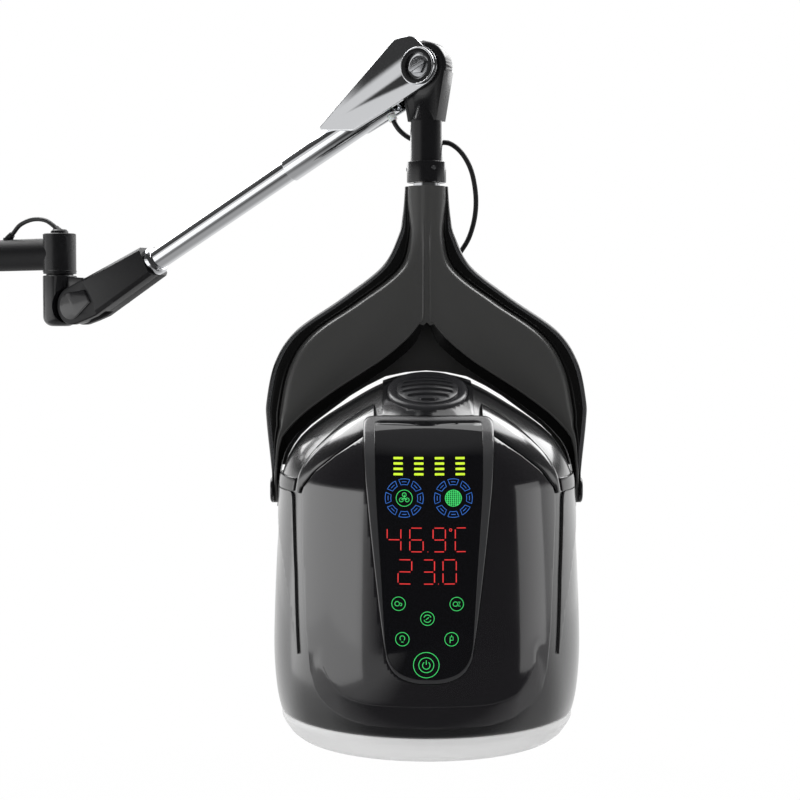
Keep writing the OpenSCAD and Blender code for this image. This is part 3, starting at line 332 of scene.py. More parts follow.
def sheet(name, rows_count, columns, rule, caps=False, glossy=None):
    """Rows and columns of points, each put in place by a rule: a half that is then mirrored, or a bar with
    caps. Faces that the glossy rule picks take the second finish."""
    bpy.ops.mesh.primitive_grid_add(x_subdivisions=rows_count - 1, y_subdivisions=columns - 1, size=1)
    obj = named(name)
    for _ in range(2):
        obj.data.materials.append(None)

    def cell(p, snap):
        return snap((p.x + 0.5) * (rows_count - 1)), snap((p.y + 0.5) * (columns - 1))

    for face in obj.data.polygons if glossy else ():
        face.material_index = glossy(*cell(face.center, int))
    for v in obj.data.vertices:
        v.co = rule(*cell(v.co, round)) * MM
    open_up(obj)
    bpy.ops.mesh.remove_doubles(threshold=WELD)
    if caps:
        bpy.ops.mesh.select_all(action="DESELECT")
        bpy.ops.mesh.select_mode(type="EDGE")
        bpy.ops.mesh.select_non_manifold()
        bpy.ops.mesh.edge_face_add()
    else:
        close_up()
        use(obj, "MIRROR", merge_threshold=1e-5)
        open_up(obj)
    close_outward()
    return obj


def paint(obj, *finishes):
    """Gives a piece its finishes, and keeps which face has which."""
    keep = [face.material_index for face in obj.data.polygons]
    obj.data.materials.clear()
    for made in finishes:
        obj.data.materials.append(made)
    for face, index in zip(obj.data.polygons, keep):
        face.material_index = min(index, len(finishes) - 1)
    return obj


def fit(obj, body, finish, *nodes):
    """Paints a piece, fixes it to its body and lets it stand for the frame's nodes."""
    paint(obj, *(finish if isinstance(finish, tuple) else (finish,)))
    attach(obj, body)
    if nodes:
        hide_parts(*nodes)
    return obj


def dressed(name, body, made, width, sharp=35):
    """A merged copy of a plain piece of the frame, with its edges eased, stands for that piece."""
    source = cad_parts[name]
    obj = source.copy()
    obj.data = source.data.copy()
    obj.name = obj.data.name = name + "_eased"
    obj.parent = None
    obj.matrix_world = Matrix.Identity(4)
    scene.collection.objects.link(obj)
    open_up(obj)
    bpy.ops.mesh.remove_doubles(threshold=WELD)
    bpy.ops.mesh.dissolve_limited(angle_limit=radians(0.5))
    close_up()
    obj.data.materials.clear()
    fit(eased(obj, width, 3, sharp), body, made, name)


# Node tools

def feed(tree, socket, value):
    """A plain value is set on the socket, and another node's output is linked to it."""
    if isinstance(value, bpy.types.NodeSocket):
        tree.links.new(value, socket)
    else:
        socket.default_value = value


def node(tree, kind, *values, **named):
    """A node with its inputs filled, in their order or by name. Other names are the node's own settings."""
    made = tree.nodes.new("ShaderNode" + kind)
    for key, value in named.items():
        label = key.replace("_", " ")
        if label in made.inputs:
            feed(tree, made.inputs[label], value)
        else:
            setattr(made, key, value)
    for socket, value in zip(made.inputs, values):
        feed(tree, socket, value)
    return made


def noise(tree, coords, scale, detail=3.0, rough=0.5, warp=0.0):
    return node(tree, "TexNoise", Vector=coords, Scale=scale, Detail=detail, Roughness=rough,
                Distortion=warp).outputs["Fac"]


def spread(tree, value, low, high, to_low=0.0, to_high=1.0):
    return node(tree, "MapRange", Value=value, From_Min=low, From_Max=high, To_Min=to_low,
                To_Max=to_high).outputs["Result"]


def maths(tree, operation, a, b):
    return node(tree, "Math", a, b, operation=operation).outputs[0]


def times(tree, a, b):
    return maths(tree, "MULTIPLY", a, b)


def along(tree, source, way):
    """How far a direction or place reaches along a way."""
    return node(tree, "VectorMath", source, way, operation="DOT_PRODUCT").outputs["Value"]


def tinted(tree, fac, a, b):
    made = node(tree, "Mix", fac, data_type="RGBA")
    feed(tree, made.inputs[6], a)
    feed(tree, made.inputs[7], b)
    return made.outputs[2]


def object_place(tree):
    return node(tree, "TexCoord").outputs["Object"]


# Finishes: shared effects first

def group(name, results, **inputs):
    tree = bpy.data.node_groups.new(name, "ShaderNodeTree")
    for label, value in inputs.items():
        kind = "Float" if isinstance(value, float) else "Vector" if len(value) == 3 else "Color"
        socket = tree.interface.new_socket(name=label, in_out="INPUT", socket_type="NodeSocket" + kind)
        socket.default_value = value
    for label, kind in results.items():
        tree.interface.new_socket(name=label, in_out="OUTPUT", socket_type="NodeSocket" + kind)
    return tree, tree.nodes.new("NodeGroupInput").outputs, tree.nodes.new("NodeGroupOutput").inputs


# Handling marks: slow smudges that dull the gloss, and fine dust that lightens the colour
handling, given, result = group(
    "handling_marks", {"Color": "Color", "Roughness": "Float"}, Coordinates=(0, 0, 0),
    Color=(0.1, 0.1, 0.1, 1), Roughness=0.2, Smudge=0.1, Dust=0.05)
smudges = spread(handling, noise(handling, given["Coordinates"], 9.0, 4, 0.6, 0.4), 0.42, 0.72)
speckle = spread(handling, noise(handling, given["Coordinates"], 620.0, 2, 0.7), 0.62, 0.78)
patches = spread(handling, noise(handling, given["Coordinates"], 23.0, 3, 0.5), 0.4, 0.7)
dusty = times(handling, times(handling, speckle, patches), given["Dust"])
dulled = maths(handling, "ADD", given["Roughness"], times(handling, smudges, given["Smudge"]))
feed(handling, result["Color"], tinted(handling, dusty, given["Color"], (0.62, 0.6, 0.57, 1)))
feed(handling, result["Roughness"], maths(handling, "ADD", dulled, times(handling, dusty, 0.8)))

# Grain: the height of a moulded or sprayed skin, with a coarse and a fine layer
grain, given, result = group(
    "skin_grain", {"Height": "Float"}, Coordinates=(0, 0, 0), Scale=900.0, Waviness=0.3)
fine = noise(grain, given["Coordinates"], given["Scale"], 2.0, 0.6)
slow = noise(grain, given["Coordinates"], 34.0, 1, 0.4)
feed(grain, result["Height"], maths(grain, "ADD", fine, times(grain, slow, given["Waviness"])))

# Fine lines: long thin scratches or tool marks along one direction of the coordinates
lines, given, result = group(
    "fine_lines", {"Roughness": "Float", "Height": "Float"}, Coordinates=(0, 0, 0), Stretch=(1, 1, 40),
    Amount=0.2, Roughness=0.2)
stretch = node(lines, "VectorMath", given["Coordinates"], given["Stretch"], operation="MULTIPLY")
marks = noise(lines, stretch.outputs[0], 60.0, 4, 0.7)
worn = times(lines, spread(lines, marks, 0.45, 0.75), given["Amount"])
feed(lines, result["Height"], marks)
feed(lines, result["Roughness"], maths(lines, "ADD", given["Roughness"], worn))


def effect(tree, shared, coords, **values):
    """Puts one of the shared effects in a finish."""
    made = tree.nodes.new("ShaderNodeGroup")
    made.node_tree = shared
    for key, value in {"Coordinates": coords, **values}.items():
        feed(tree, made.inputs[key], value)
    return made.outputs


def finish(name, color, rough, smudge=0.1, dust=0.05, grain_scale=900.0, grain_depth=0.02, waviness=0.3,
           stretch=None, line_amount=0.15, turn=(0, 0, 0), coat=(0, 0.03), specular=0.5, **sockets):
    """A finish with handling marks, grain and, if asked, fine lines. The rest goes on the shader itself."""
    made = bpy.data.materials.new(name)
    made.use_nodes = True
    tree = made.node_tree
    coords = node(tree, "Mapping", Vector=object_place(tree), Rotation=turn).outputs["Vector"]
    marks = effect(tree, handling, coords, Color=(*color, 1), Roughness=rough, Smudge=smudge, Dust=dust)
    height = effect(tree, grain, coords, Scale=grain_scale, Waviness=waviness)["Height"]
    roughness = marks["Roughness"]
    if stretch:
        brushed = effect(tree, lines, coords, Stretch=stretch, Amount=line_amount, Roughness=roughness)
        roughness = brushed["Roughness"]
        height = maths(tree, "ADD", height, brushed["Height"])
    bump = node(tree, "Bump", Strength=grain_depth, Distance=0.001, Height=height)
    sockets.update(Base_Color=marks["Color"], Roughness=roughness, Normal=bump.outputs["Normal"],
                   Coat_Weight=coat[0], Coat_Roughness=coat[1], Specular_IOR_Level=specular)
    for key, value in sockets.items():
        feed(tree, tree.nodes["Principled BSDF"].inputs[key.replace("_", " ")], value)
    made.diffuse_color = (*color, 1)
    return made


# Grain of sprayed paint and of polished moulding: scale, depth and waviness
SPRAYED, POLISHED = (1400, 0.05, 0.5), (500, 0.006, 0.6)

black_paint = finish("black_paint", (0.006, 0.006, 0.007), 0.24, 0.12, 0.05, *SPRAYED, coat=(0.3, 0.12))
boom_paint = finish("boom_paint", (0.004, 0.004, 0.005), 0.45, 0.1, 0.05, *SPRAYED, specular=0.2)
black_moulding = finish("black_moulding", (0.006, 0.006, 0.007), 0.34, 0.1, 0.06, 1500, 0.12, specular=0.35)
cover_gloss = finish("cover_gloss", (0.012, 0.012, 0.013), 0.12, 0.12, 0.05, 700, 0.02, coat=(0.5, 0.03))
shell_gloss = finish("shell_gloss", (0.006, 0.006, 0.007), 0.11, 0.05, 0.02, *POLISHED, coat=(0.4, 0.08))
mask_gloss = finish("mask_gloss", (0.007, 0.0065, 0.008), 0.1, 0.06, 0.02, *POLISHED, coat=(0.8, 0.05),
                    specular=1.0)
dome_gloss = finish("dome_gloss", (0.008, 0.008, 0.009), 0.22, 0.05, 0.02, *POLISHED, coat=(1.0, 0.12),
                    specular=1.0)
bezel_gloss = finish("bezel_gloss", (0.035, 0.035, 0.037), 0.2, 0.05, 0.02, 700, 0.01, 0.6,
                     coat=(0.5, 0.1), specular=0.8)
shell_satin = finish("shell_satin", (0.02, 0.02, 0.022), 0.22, 0.06, 0.03, 1100, 0.03)
yoke_satin = finish("yoke_satin", (0.046, 0.046, 0.045), 0.34, 0.06, 0.03, 1300, 0.03, 0.5, coat=(0.2, 0.2))
yoke_gloss = finish("yoke_gloss", (0.004, 0.004, 0.004), 0.2, 0.08, 0.03, 900, 0.02, specular=0.25)
chrome = finish("chrome", (0.83, 0.84, 0.86), 0.035, 0.06, 0.01, 300, 0.01, 0.8, stretch=(3, 60, 60),
                line_amount=0.05, turn=(0, RISE, 0), Metallic=1.0)
steel = finish("turned_steel", (0.56, 0.57, 0.59), 0.2, 0.1, 0.02, 700, 0.03, stretch=(60, 60, 4),
               Metallic=1.0)
bronze = finish("bearing_bronze", (0.44, 0.3, 0.15), 0.3, 0.1, 0.02, 900, 0.05, Metallic=1.0)
white_nylon = finish("white_nylon", (0.78, 0.78, 0.76), 0.38, 0.1, 0.03, 1200, 0.05, Subsurface_Weight=0.1)
window = finish("smoked_window", (0.002, 0.002, 0.003), 0.03, 0.04, 0.015, 300, 0.003, 0.5, coat=(1.0, 0.02))
board = finish("printed_board", (0.01, 0.07, 0.03), 0.4, 0.1, 0.02, 1200, 0.1)
frosted = finish("frosted_rim", (0.8, 0.8, 0.8), 0.3, 0.1, 0.03, 1300, 0.08, 0.5, coat=(0.6, 0.08),
                 Transmission_Weight=0.2, IOR=1.49)
liner_finish = finish("liner_moulding", (0.022, 0.022, 0.023), 0.45, 0.08, 0.05, 1000, 0.15)
fan_finish = finish("fan_moulding", (0.04, 0.04, 0.042), 0.4, 0.1, 0.05, 1000, 0.1)
mica = finish("mica_carrier", (0.42, 0.3, 0.16), 0.5, 0.15, 0.05, 500, 0.2)
sheath = finish("cable_sheath", (0.012, 0.012, 0.013), 0.42, 0.1, 0.06, 1600, 0.12, 0.6)

# The frame's pieces that no other piece stands for
for made, names in (
        (black_moulding, ("boom_bushes",)), (bronze, ("lift_bush", "hub_bush", "swivel_bushes")),
        (steel, ("elbow_pin", "rod_pin_lower", "rod_pin_upper", "level_rod", "balance_spring", "tilt_bolts",
                 "yoke_frame", "motor_plate", "fan_motor")),
        (board, ("display_board",)), (fan_finish, ("fan_impeller",)), (mica, ("heater_ring",))):
    for name in names:
        paint(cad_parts[name], made)


# Supply leads: three short free lengths between glands, drawn along given points

def lead(name, points, place, bodies):
    p = [Vector(q) for q in points]
    path = curve([2 * p[0] - p[1]] + p + [2 * p[-1] - p[-2]], 8)
    obj = paint(put(smooth(wire(name + "_free", [path], 3, 4), 60), place), sheath)
    if len(bodies) == 1:
        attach(obj, bodies[0])
    else:
        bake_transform(obj)
    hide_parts(name)


from_boom = Vector((sin(radians(50)), 0, cos(radians(50))))
from_cap = Vector((-from_boom.x, 0, from_boom.z))
boom_end = Vector((-92, 0, 22.5)) + 9 * from_boom
cap_end = Vector((0, 0, 29.3)) + 8.5 * from_cap
lead("lead_boom", [boom_end, boom_end + 4 * from_boom, (boom_end.x + 14, 0, cap_end.z + 5.7),
                   (boom_end.x + 31, 0, cap_end.z + 11.8), (-38, 0, cap_end.z + 13.1),
                   (-23, 0, cap_end.z + 10.4), cap_end + 6 * from_cap, cap_end],
     shift(ELBOW_X, 0, 0), ("boom",))

down = Vector((sin(RISE), 0, -cos(RISE)))
sleeve_end = 31.5 * down - 66 * UP_THE_ARM
clip = Vector((-4, 23.5, -84))
to_clip = [(-33, -21.3, 14), (-26.2, -15.9, 7.2), (-18.2, -9.5, 2.6), (-10, -4.1, 0.4), (0, 0, 0)]
lead("lead_upper", [sleeve_end, sleeve_end + 5 * down] + [clip + Vector(q) for q in to_clip],
     Matrix.Translation(HUB), ("arm", "hanger"))

gland_way = Vector((0.6, 0.05, 0.8)).normalized()
gland_end = Vector((30, 35, 266)) + 12 * gland_way + Vector((0, 0, TILT_Z / MM))
clip_z = HUB.z / MM + clip.z
leave = Matrix.Rotation(-TURN, 4, "Z") @ Vector((-clip.x, clip.y, 0))
drop = [leave, leave + Vector((4.3, -2.5, 0.002)), (26.8, 12.6, 0.012), (34.6, 9.6, 0.049), (42, 7.4, 0.107),
        (48.4, 6.2, 0.184), (53.4, 6.2, 0.277), (56.8, 7.8, 0.393), (58.4, 11, 0.517), (57.6, 16.2, 0.64),
        (54.4, 23, 0.757), (49, 29.8, 0.865)]
lead("lead_lower", [(x, y, clip_z + part * (gland_end.z - clip_z)) for x, y, part in drop]
     + [gland_end + 3.5 * gland_way, gland_end],
     Matrix.Translation((HUB.x, 0, 0)) @ Matrix.Rotation(TURN, 4, "Z"), ("hanger", "yoke"))


# The hood's outer form: radius and height over the tilt axis, and its outward direction there

HOOD_LINE = curve([(-48, 128), (0, 136), (48, 128), (99, 100), (135, 75), (155, 52), (167, 23), (170, -10),
                   (174, -74), (177, -150), (177, -190), (174, -225), (169, -248), (163, -262)], 10)
HOOD_OUT = [(b - a).normalized() for a, b in zip(beside(HOOD_LINE, 0), beside(HOOD_LINE, 1))]
SHELL_FOOT = -248
PANEL_AXIS_Y = 110


def hood_at(value, by):
    """The profile's point and outward direction where its radius (by 0) or its height (by 1) has a value."""
    sign = 1 - 2 * by
    goal = sign * value
    for i, (p, q) in enumerate(zip(HOOD_LINE, HOOD_LINE[1:])):
        a, b = sign * p[by], sign * q[by]
        if a <= goal <= b and b > a:
            t = (goal - a) / (b - a)
            return p.lerp(q, t), HOOD_OUT[i].lerp(HOOD_OUT[i + 1], t).normalized()
    i = 0 if goal < sign * HOOD_LINE[0][by] else -1
    return HOOD_LINE[i], HOOD_OUT[i]


def skin(value, by, out):
    """The other coordinate of the hood's outside, moved out by a distance, at a radius or a height."""
    foot = value
    for _ in range(4):
        point, way = hood_at(foot, by)
        foot = value - out * way[by]
    point, way = hood_at(foot, by)
    return point[1 - by] + out * way[1 - by]


def stands_out(v):
    r = skin(v.y, 1, v.z)
    return sqrt(max(r * r - v.x * v.x, 1))


def over_front(v):
    return Vector((v.x, -stands_out(v), v.y))


def over_crown(v):
    return Vector((v.x, v.y, skin(hypot(v.x, v.y), 0, v.z)))


def over_side(side):
    """The rule for the right (1) or the left (-1) side."""
    return lambda v: Vector((side * stands_out(v), side * v.x, v.y))


def over_panel(v):
    """The control panel's flatter front, whose axis stands behind the hood's own."""
    r = hood_at(v.y, 1)[0].x + 115 + v.z
    return Vector((v.x, PANEL_AXIS_Y - sqrt(r * r - v.x * v.x), v.y))


def panel_outline(inset, n):
    """The control panel's outline, drawn smooth, inset by a distance."""
    pts = curve([(-40, 94), (0, 94), (40, 94), (61, 93.6), (68.6, 90.6), (70.8, 82), (69, 50), (66, 10),
                 (57, -75), (47.5, -150), (42, -169), (32, -180), (17, -185.8), (0, -187), (-17, -185.8)], n)
    half = [(q.x, q.y) for q in beside(pts, -inset)]
    half[0], half[-1] = (0, 94 - inset), (0, -187 + inset)
    return both([q for q in half if q[0] >= 0])


def room(outline):
    """A cutter for an opening in a sheet on the board."""
    return put(plate("room", outline, 40), shift(0, 0, -10))


# Hood shell, with its panel and vent openings and the bores for its pivots

STANDING = shift(0, -60, 0) @ about("X", 90)
VENT_Y = -57
outer = [(p.x, p.y) for p in HOOD_LINE if p.y > SHELL_FOOT] + [(169, -247.2), (168.2, SHELL_FOOT)]
inner = [(p.x, p.y) for p in beside(HOOD_LINE, -3) if p.y > SHELL_FOOT and p.x > 0]
shell = turned("hood_shell_smooth", outer + [(165.8, SHELL_FOOT)] + inner[::-1] + [(0, 133)], 192)
opening = both([(0, 84), (50, 84), (54, 78), (52, 10), (47, -75), (42, -140), (37, -162), (28, -172),
                (0, -176)])
cut_out(shell, put(plate("window_hole", opening, 200), STANDING))
cut_out(shell, round_bar("vent_hole", 34, 90, (0, VENT_Y, 105)))
cut_out(shell, round_bar("pivot_hole", 13.1, 400, (0, 25, 0), (0, radians(90), 0)))
fit(put(smooth(shell), IN_HOOD), "hood", dome_gloss, "hood_shell")

# Clear rim under the shell

rim = side_round([(168.3, -248.2), (168.2, -256), (165, -262), (158, -272), (150, -278), (148.5, -275.6),
                  (156, -270), (162, -261), (162.6, -240), (165.3, -240), (165.5, -248.2)], 1.6, 3)
lathed("clear_rim_smooth", rim, IN_HOOD, "hood", frosted, "clear_rim", 192)

# Crown panel with the round vent and its slotted grille

crown = [(-51, -139), (51, -139), (51, 60), (44, 70), (-44, 70), (-51, 60)]
crown_sheet = wrapped("crown_sheet", crown, 0.3, 2.6, over_crown, 5, 0.8,
                      round_bar("ring_seat", 46.2, 40, (0, VENT_Y, 0)))
cut_out(crown_sheet, put(plate("window_hole", panel_outline(-0.5, 3), 200), IN_HOOD @ STANDING))
fit(smooth(crown_sheet), "hood", shell_gloss, "crown_panel")

ring = side_round([(46, 0.3), (46, 3.4), (43.5, 4.9), (39.5, 4.2), (36, 2.4), (35, 2), (35, 0.3)], 1.6, 3)
vent = put(turned("vent_ring_smooth", ring), shift(0, VENT_Y, 0))
fit(put(smooth(shaped(vent, over_crown)), IN_HOOD), "hood", shell_satin, "vent_ring")

disc = plate("vent_grille_smooth", arc(0, 0, 34.9, steps=72)[:-1], 2.7)
for i in range(-3, 4):
    half = sqrt(30 ** 2 - (i * 9.6) ** 2) - 2.2
    slot = [(half, -2.2), (half + 1.5, -1.5), (half + 2.2, 0), (half + 1.5, 1.5), (half, 2.2)]
    slot = slot + [(-x, -y) for x, y in slot]
    cut_out(disc, put(plate("slot", slot, 12), shift(0, i * 9.6, -5)))
put(eased(disc, 0.7, 2), shift(0, VENT_Y, 0))
fit(laid(disc, over_crown, 5, 0.3), "hood", shell_satin, "vent_grille")

# The raised mask: full height inside its foot crease, running down to the shell at its lower edge

mask_side = [(60, 80), (101, 52), (122, 35), (137, 16), (140, 8), (140, -20), (138, -60), (136, -100),
             (134, -140), (130, -182), (124, -204), (112, -219), (92, -230), (66, -235.6), (34, -236.6),
             (0, -236.6)]
crease_line = span([(116, -165), (115.5, -172), (108, -190), (93, -205), (66, -211), (34, -211.5), (0, -211)])
foot_line = span([(132, -165), (131, -180), (124, -204), (112, -219), (92, -230), (66, -235.6), (0, -236.6)])


def reach(point, chain):
    """Distance from a point to a chain of straight pieces."""
    best = 1e9
    for (x, y), (x_2, y_2) in zip(chain, chain[1:]):
        run, rise = x_2 - x, y_2 - y
        t = ((point[0] - x) * run + (point[1] - y) * rise) / (run ** 2 + rise ** 2)
        t = min(1, max(0, t))
        best = min(best, hypot(point[0] - x - t * run, point[1] - y - t * rise))
    return best


def over_mask(v):
    to_foot, to_crease = reach(v, foot_line), reach(v, crease_line)
    inside = abs(v.x) < 116 and v.y > -165 or to_foot > 27
    for (x, y), (x_2, y_2) in zip(crease_line[1:], crease_line[2:-1]):
        if x <= v.x <= x_2:
            inside = v.y > y + (v.x - x) / (x_2 - x) * (y_2 - y)
    fall = 1 if inside else to_foot / max(to_foot + to_crease, 0.01)
    fall = max(fall, ease((v.y + 195) / 50))
    return over_front(Vector((v.x, v.y, 0.3 + (v.z - 0.3) * (0.12 + 0.88 * fall))))


mask = wrapped("front_mask_smooth", both([(0, 82)] + mask_side), 0.3, 5, over_mask, 3.5, 0.8,
               room(panel_outline(-0.3, 6)))
fit(mask, "hood", mask_gloss, "front_mask")

# Fine rolled edges that follow the mask's creases
for name, half, height, r in (
        ("mask_crease", [(114, -176), (106, -190), (92, -204), (66, -210.5), (34, -211), (0, -211)], 4.5,
         0.7),
        ("mask_foot", [(124, -203), (112, -218), (92, -229), (66, -234.6), (0, -235.6)], 0.4, 0.6)):
    path = [over_front(Vector((q.x, q.y, height))) for q in through(span(half), 5)]
    fit(put(smooth(wire(name, [path], r, 3), 60), IN_HOOD), "hood", mask_gloss)

# The lip along the mask's upper edge, the side blades and the pivot blocks

low_line = through([(60, 80.3), (80, 66.9), (101, 52.3), (122, 35.3), (133, 22), (138.6, 14), (140.3, 8)], 6)
high_line = through([(60, 106), (81, 94), (102, 79), (123, 59), (134.5, 45), (143, 29), (147, 10)], 6)
lip_section = [(0, 0.3), (0, 2.6), (0.04, 3.8), (0.12, 4.8), (0.24, 5.6), (0.42, 6.4), (0.6, 7), (0.75, 7.2),
               (0.87, 6.8), (0.95, 5.6), (1, 4), (1, 0.3), (0, 0.3)]
for side in (1, -1):
    def lip_rule(i, j):
        share, up = lip_section[j]
        q = low_line[i].lerp(high_line[i], share)
        return Vector((side * q.x, q.y, up))

    lip = sheet("mask_lip_smooth", len(low_line), len(lip_section), lip_rule, caps=True)
    cut_out(lip, room(panel_outline(-0.3, 4)))
    cut_out(lip, room([(-51.3, 60), (51.3, 60), (51.3, 140), (-51.3, 140)]))
    fit(put(smooth(shaped(lip, over_front)), IN_HOOD), "hood", dome_gloss, "mask_lip")

blade = side_round([(-14, 8), (-80, 8), (-89, -36), (-97, -80), (-108, -172), (-92, -120), (-76, -88),
                    (-60, -60), (-44, -40), (-30, -22)], 6, 3)
block = side_round([(-84.4, 9), (-84.4, 24), (46, 24), (46, -16), (-10, -16), (-10, 9)], 2, 2)
for side in (1, -1):
    for name, outline, high, edge, made, stands_for in (
            ("side_blade", blade, 2.6, 1.2, dome_gloss, "side_blades"),
            ("pivot_block", block, 3, 0.8, shell_gloss, "pivot_blocks")):
        piece = wrapped(name, [(side * x, y) for x, y in outline], 0.3, high, over_side(side), 5, edge)
        fit(piece, "hood", made, stands_for)
    lathed("pivot_boss", [(5.15, 156), (13, 156), (13, 170.8), (12.3, 171.5), (5.15, 171.5)],
           IN_YOKE @ about("Y", 90 * side), "hood", black_moulding, "pivot_blocks", 64)

# Control panel: a raised bezel, a smoked window and lit symbols

window_line = curve([(-40, 88.5), (0, 88.5), (40, 88.5), (54, 88), (58, 84), (57.6, 70), (56, 10),
                     (50.5, -75), (46.5, -140), (42.5, -161), (33, -174), (17, -180.6), (0, -182),
                     (-17, -180.6)], 6)
window_outline = both([(q.x, q.y) for q in window_line if q.x >= 0])
window_ring = window_outline + window_outline[:1]


def over_bezel(v):
    """The frame rolls over at its outer edge and dips a little towards the window."""
    return over_panel(Vector((v.x, v.y, v.z - 1.6 * ease(1 - reach(v, window_ring) / 11) * (v.z > -6))))


bezel = eased(band("bezel", panel_outline(0, 6), window_outline, 14), 1.6, 4)
fit(laid(bezel, over_bezel, 4, -14), "hood", bezel_gloss, "panel_bezel")
fit(laid(plate("panel_window", window_outline, 3), over_panel, 5, -4.5), "hood", window, "panel_glass")


def lit(name, color, strength):
    """A lit symbol: its brightness wanders a little over each stroke."""
    made = finish(name, tuple(0.3 * c for c in color), 0.35, 0.05, 0.0, 800, 0.01, Emission_Strength=strength)
    tree = made.node_tree
    wander = spread(tree, noise(tree, object_place(tree), 160.0, 2), 0.3, 0.7)
    feed(tree, tree.nodes["Principled BSDF"].inputs["Emission Color"],
         tinted(tree, wander, (*(0.75 * c for c in color), 1), (*color, 1)))
    return made


glow_lime = lit("lit_lime", (0.62, 0.9, 0.03), 1.0)
glow_green = lit("lit_green", (0.05, 0.75, 0.16), 0.9)
glow_blue = lit("lit_blue", (0.03, 0.16, 0.62), 0.9)
glow_red = lit("lit_red", (0.85, 0.03, 0.03), 0.95)


def strokes(name, paths, width, made):
    """Fine lines lit behind the window: each path is bent over it and given a round section."""
    bent = []
    for path in paths:
        fine = []
        for a, b in zip(path, path[1:]):
            count = max(1, int(dist(a, b) / 3))
            fine += [Vector(a).lerp(Vector(b), k / count) for k in range(count)]
        fine.append(Vector(path[-1]))
        bent.append([over_panel(Vector((q.x, q.y, -1.5 - 0.35 * width))) for q in fine])
    fit(put(smooth(wire(name, bent, width / 2, 2), 60), IN_HOOD), "hood", made)


SEGMENTS = {"a": ((0, 1), (1, 1)), "b": ((1, 1), (1, 0.5)), "c": ((1, 0.5), (1, 0)), "d": ((0, 0), (1, 0)),
            "e": ((0, 0.5), (0, 0)), "f": ((0, 1), (0, 0.5)), "g": ((0, 0.5), (1, 0.5))}
LIT = {"4": "bcfg", "6": "acdefg", "9": "abcdfg", "C": "adef", "2": "abdeg", "3": "abcdg", "0": "abcdef"}
reading = []
for foot, top, signs in (
        (-46.5, -21.5, (("4", -44.5, -30), ("6", -20.5, -6.5), ("9", 4, 17), ("C", 27.5, 40))),
        (-80.5, -55, (("2", -33, -18.5), ("3", -7, 5.5), ("0", 14.5, 28.5)))):
    for sign, left, right in signs:
        for key in LIT[sign]:
            a, b = [Vector((left + u * (right - left), foot + w * (top - foot))) for u, w in SEGMENTS[key]]
            gap = (b - a).normalized() * 1.5
            reading.append([a + gap, b - gap])
reading += [[(-1.8, -46.4), (-1.2, -46.4)], [(9.4, -80.4), (10, -80.4)]]
strokes("lit_reading", reading, 1.5, glow_red)
strokes("lit_degree", [arc(22.6, -23.5, 1.3)], 1.2, glow_red)

LEFT_DIAL, RIGHT_DIAL = (-26.5, 10), (25.5, 10)
blue = []
for dial in (LEFT_DIAL, RIGHT_DIAL):
    for mid in range(90, 450, 45):
        rib = arc(*dial, 20.2, mid - 17, mid + 17, 5)
        blue.append(rib + arc(*dial, 14.2, mid + 14, mid - 14, 5) + rib[:1])
        blue.append(arc(*dial, 17.2, mid - 8, mid + 8, 2))
strokes("lit_scales", blue, 0.9, glow_blue)

green = [arc(*LEFT_DIAL, 8.6), arc(*RIGHT_DIAL, 8.6)]
for angle in (90, 210, 330):
    leaf = arc(*LEFT_DIAL, 3.6, angle, angle, 1)[0]
    green += [arc(*leaf, 2.1, steps=12), [LEFT_DIAL, leaf]]
x, y = RIGHT_DIAL
for i in range(-3, 4):
    off = 2.1 * i
    half = sqrt(8.6 ** 2 - off ** 2)
    green += [[(x + off, y - half), (x + off, y + half)], [(x - half, y + off), (x + half, y + off)]]
for x, y in ((-32.5, -101.5), (29, -101.8), (-2, -117), (-28.5, -139), (23.5, -139)):
    green.append(arc(x, y, 7.2))
green += [arc(-34, -101.5, 2.4, steps=14), [(-31, -103.5), (-29.4, -103.5), (-29, -101.5), (-31, -100.6)],
          arc(27.6, -101.8, 2.4, steps=14), [(33, -104), (30.5, -104), (32.6, -99.8), (30.4, -99.8)],
          arc(-2, -117, 3.9, 20, 160, 8), arc(-2, -117, 3.9, 200, 340, 8), [(-3.6, -118.2), (-0.4, -115.8)],
          arc(-28.5, -138, 2.6, -50, 230, 12), [(-29.8, -142), (-27.2, -142)],
          [(22, -143), (22, -136.5), (25.2, -136.5), (25.2, -140), (22, -140)],
          [(23.6, -136.5), (23.6, -134.5)], arc(-3.2, -166.3, 13.6), arc(-3.2, -166.3, 8),
          arc(-3.2, -166.6, 4, 125, 415, 16), [(-3.2, -165.8), (-3.2, -161.2)]]
strokes("lit_signs", green, 1.0, glow_green)

for x in (-33, -11, 11, 33):
    for z in (51.5, 46, 40.5, 35):
        corners = [(x - 5, z - 1.2), (x + 5, z - 1.2), (x + 5, z + 1.2), (x - 5, z + 1.2)]
        bar = put(plate("lit_bar", side_round(corners, 0.5, 2), 0.25), shift(0, 0, -1.6))
        fit(put(shaped(gridded(bar, 3), over_panel), IN_HOOD), "hood", glow_lime)

# Yoke: front and rear shells that meet in the middle plane. Rows run across from the outer edge to the
# inner edge, so that the rim, its fine bead and the foot band follow the outline.

APEX_Z = 197
yoke_edge = curve([(25.3, 380), (25.3, 355), (28, 322), (33, 299), (52, 263), (99, 226), (153, 188),
                   (178, 150), (188, 105), (188, 80), (183.5, 36), (180, 0), (179.8, -15), (179.8, -30)], 8)
yoke_inner = curve([(-14, 170), (0, APEX_Z), (14, 172), (38, 150), (62, 133), (102, 107), (138, 80),
                    (161, 54), (170.5, 28), (173.6, 0), (173.6, -15), (173.6, -30)], 8)


def across(chain, z):
    """Half-width of the yoke's outline at a height."""
    for a, b in zip(chain, chain[1:]):
        if a.y >= z >= b.y and a.y > b.y:
            return a.x + (a.y - z) / (a.y - b.y) * (b.x - a.x)
    return chain[0].x if z > chain[0].y else chain[-1].x


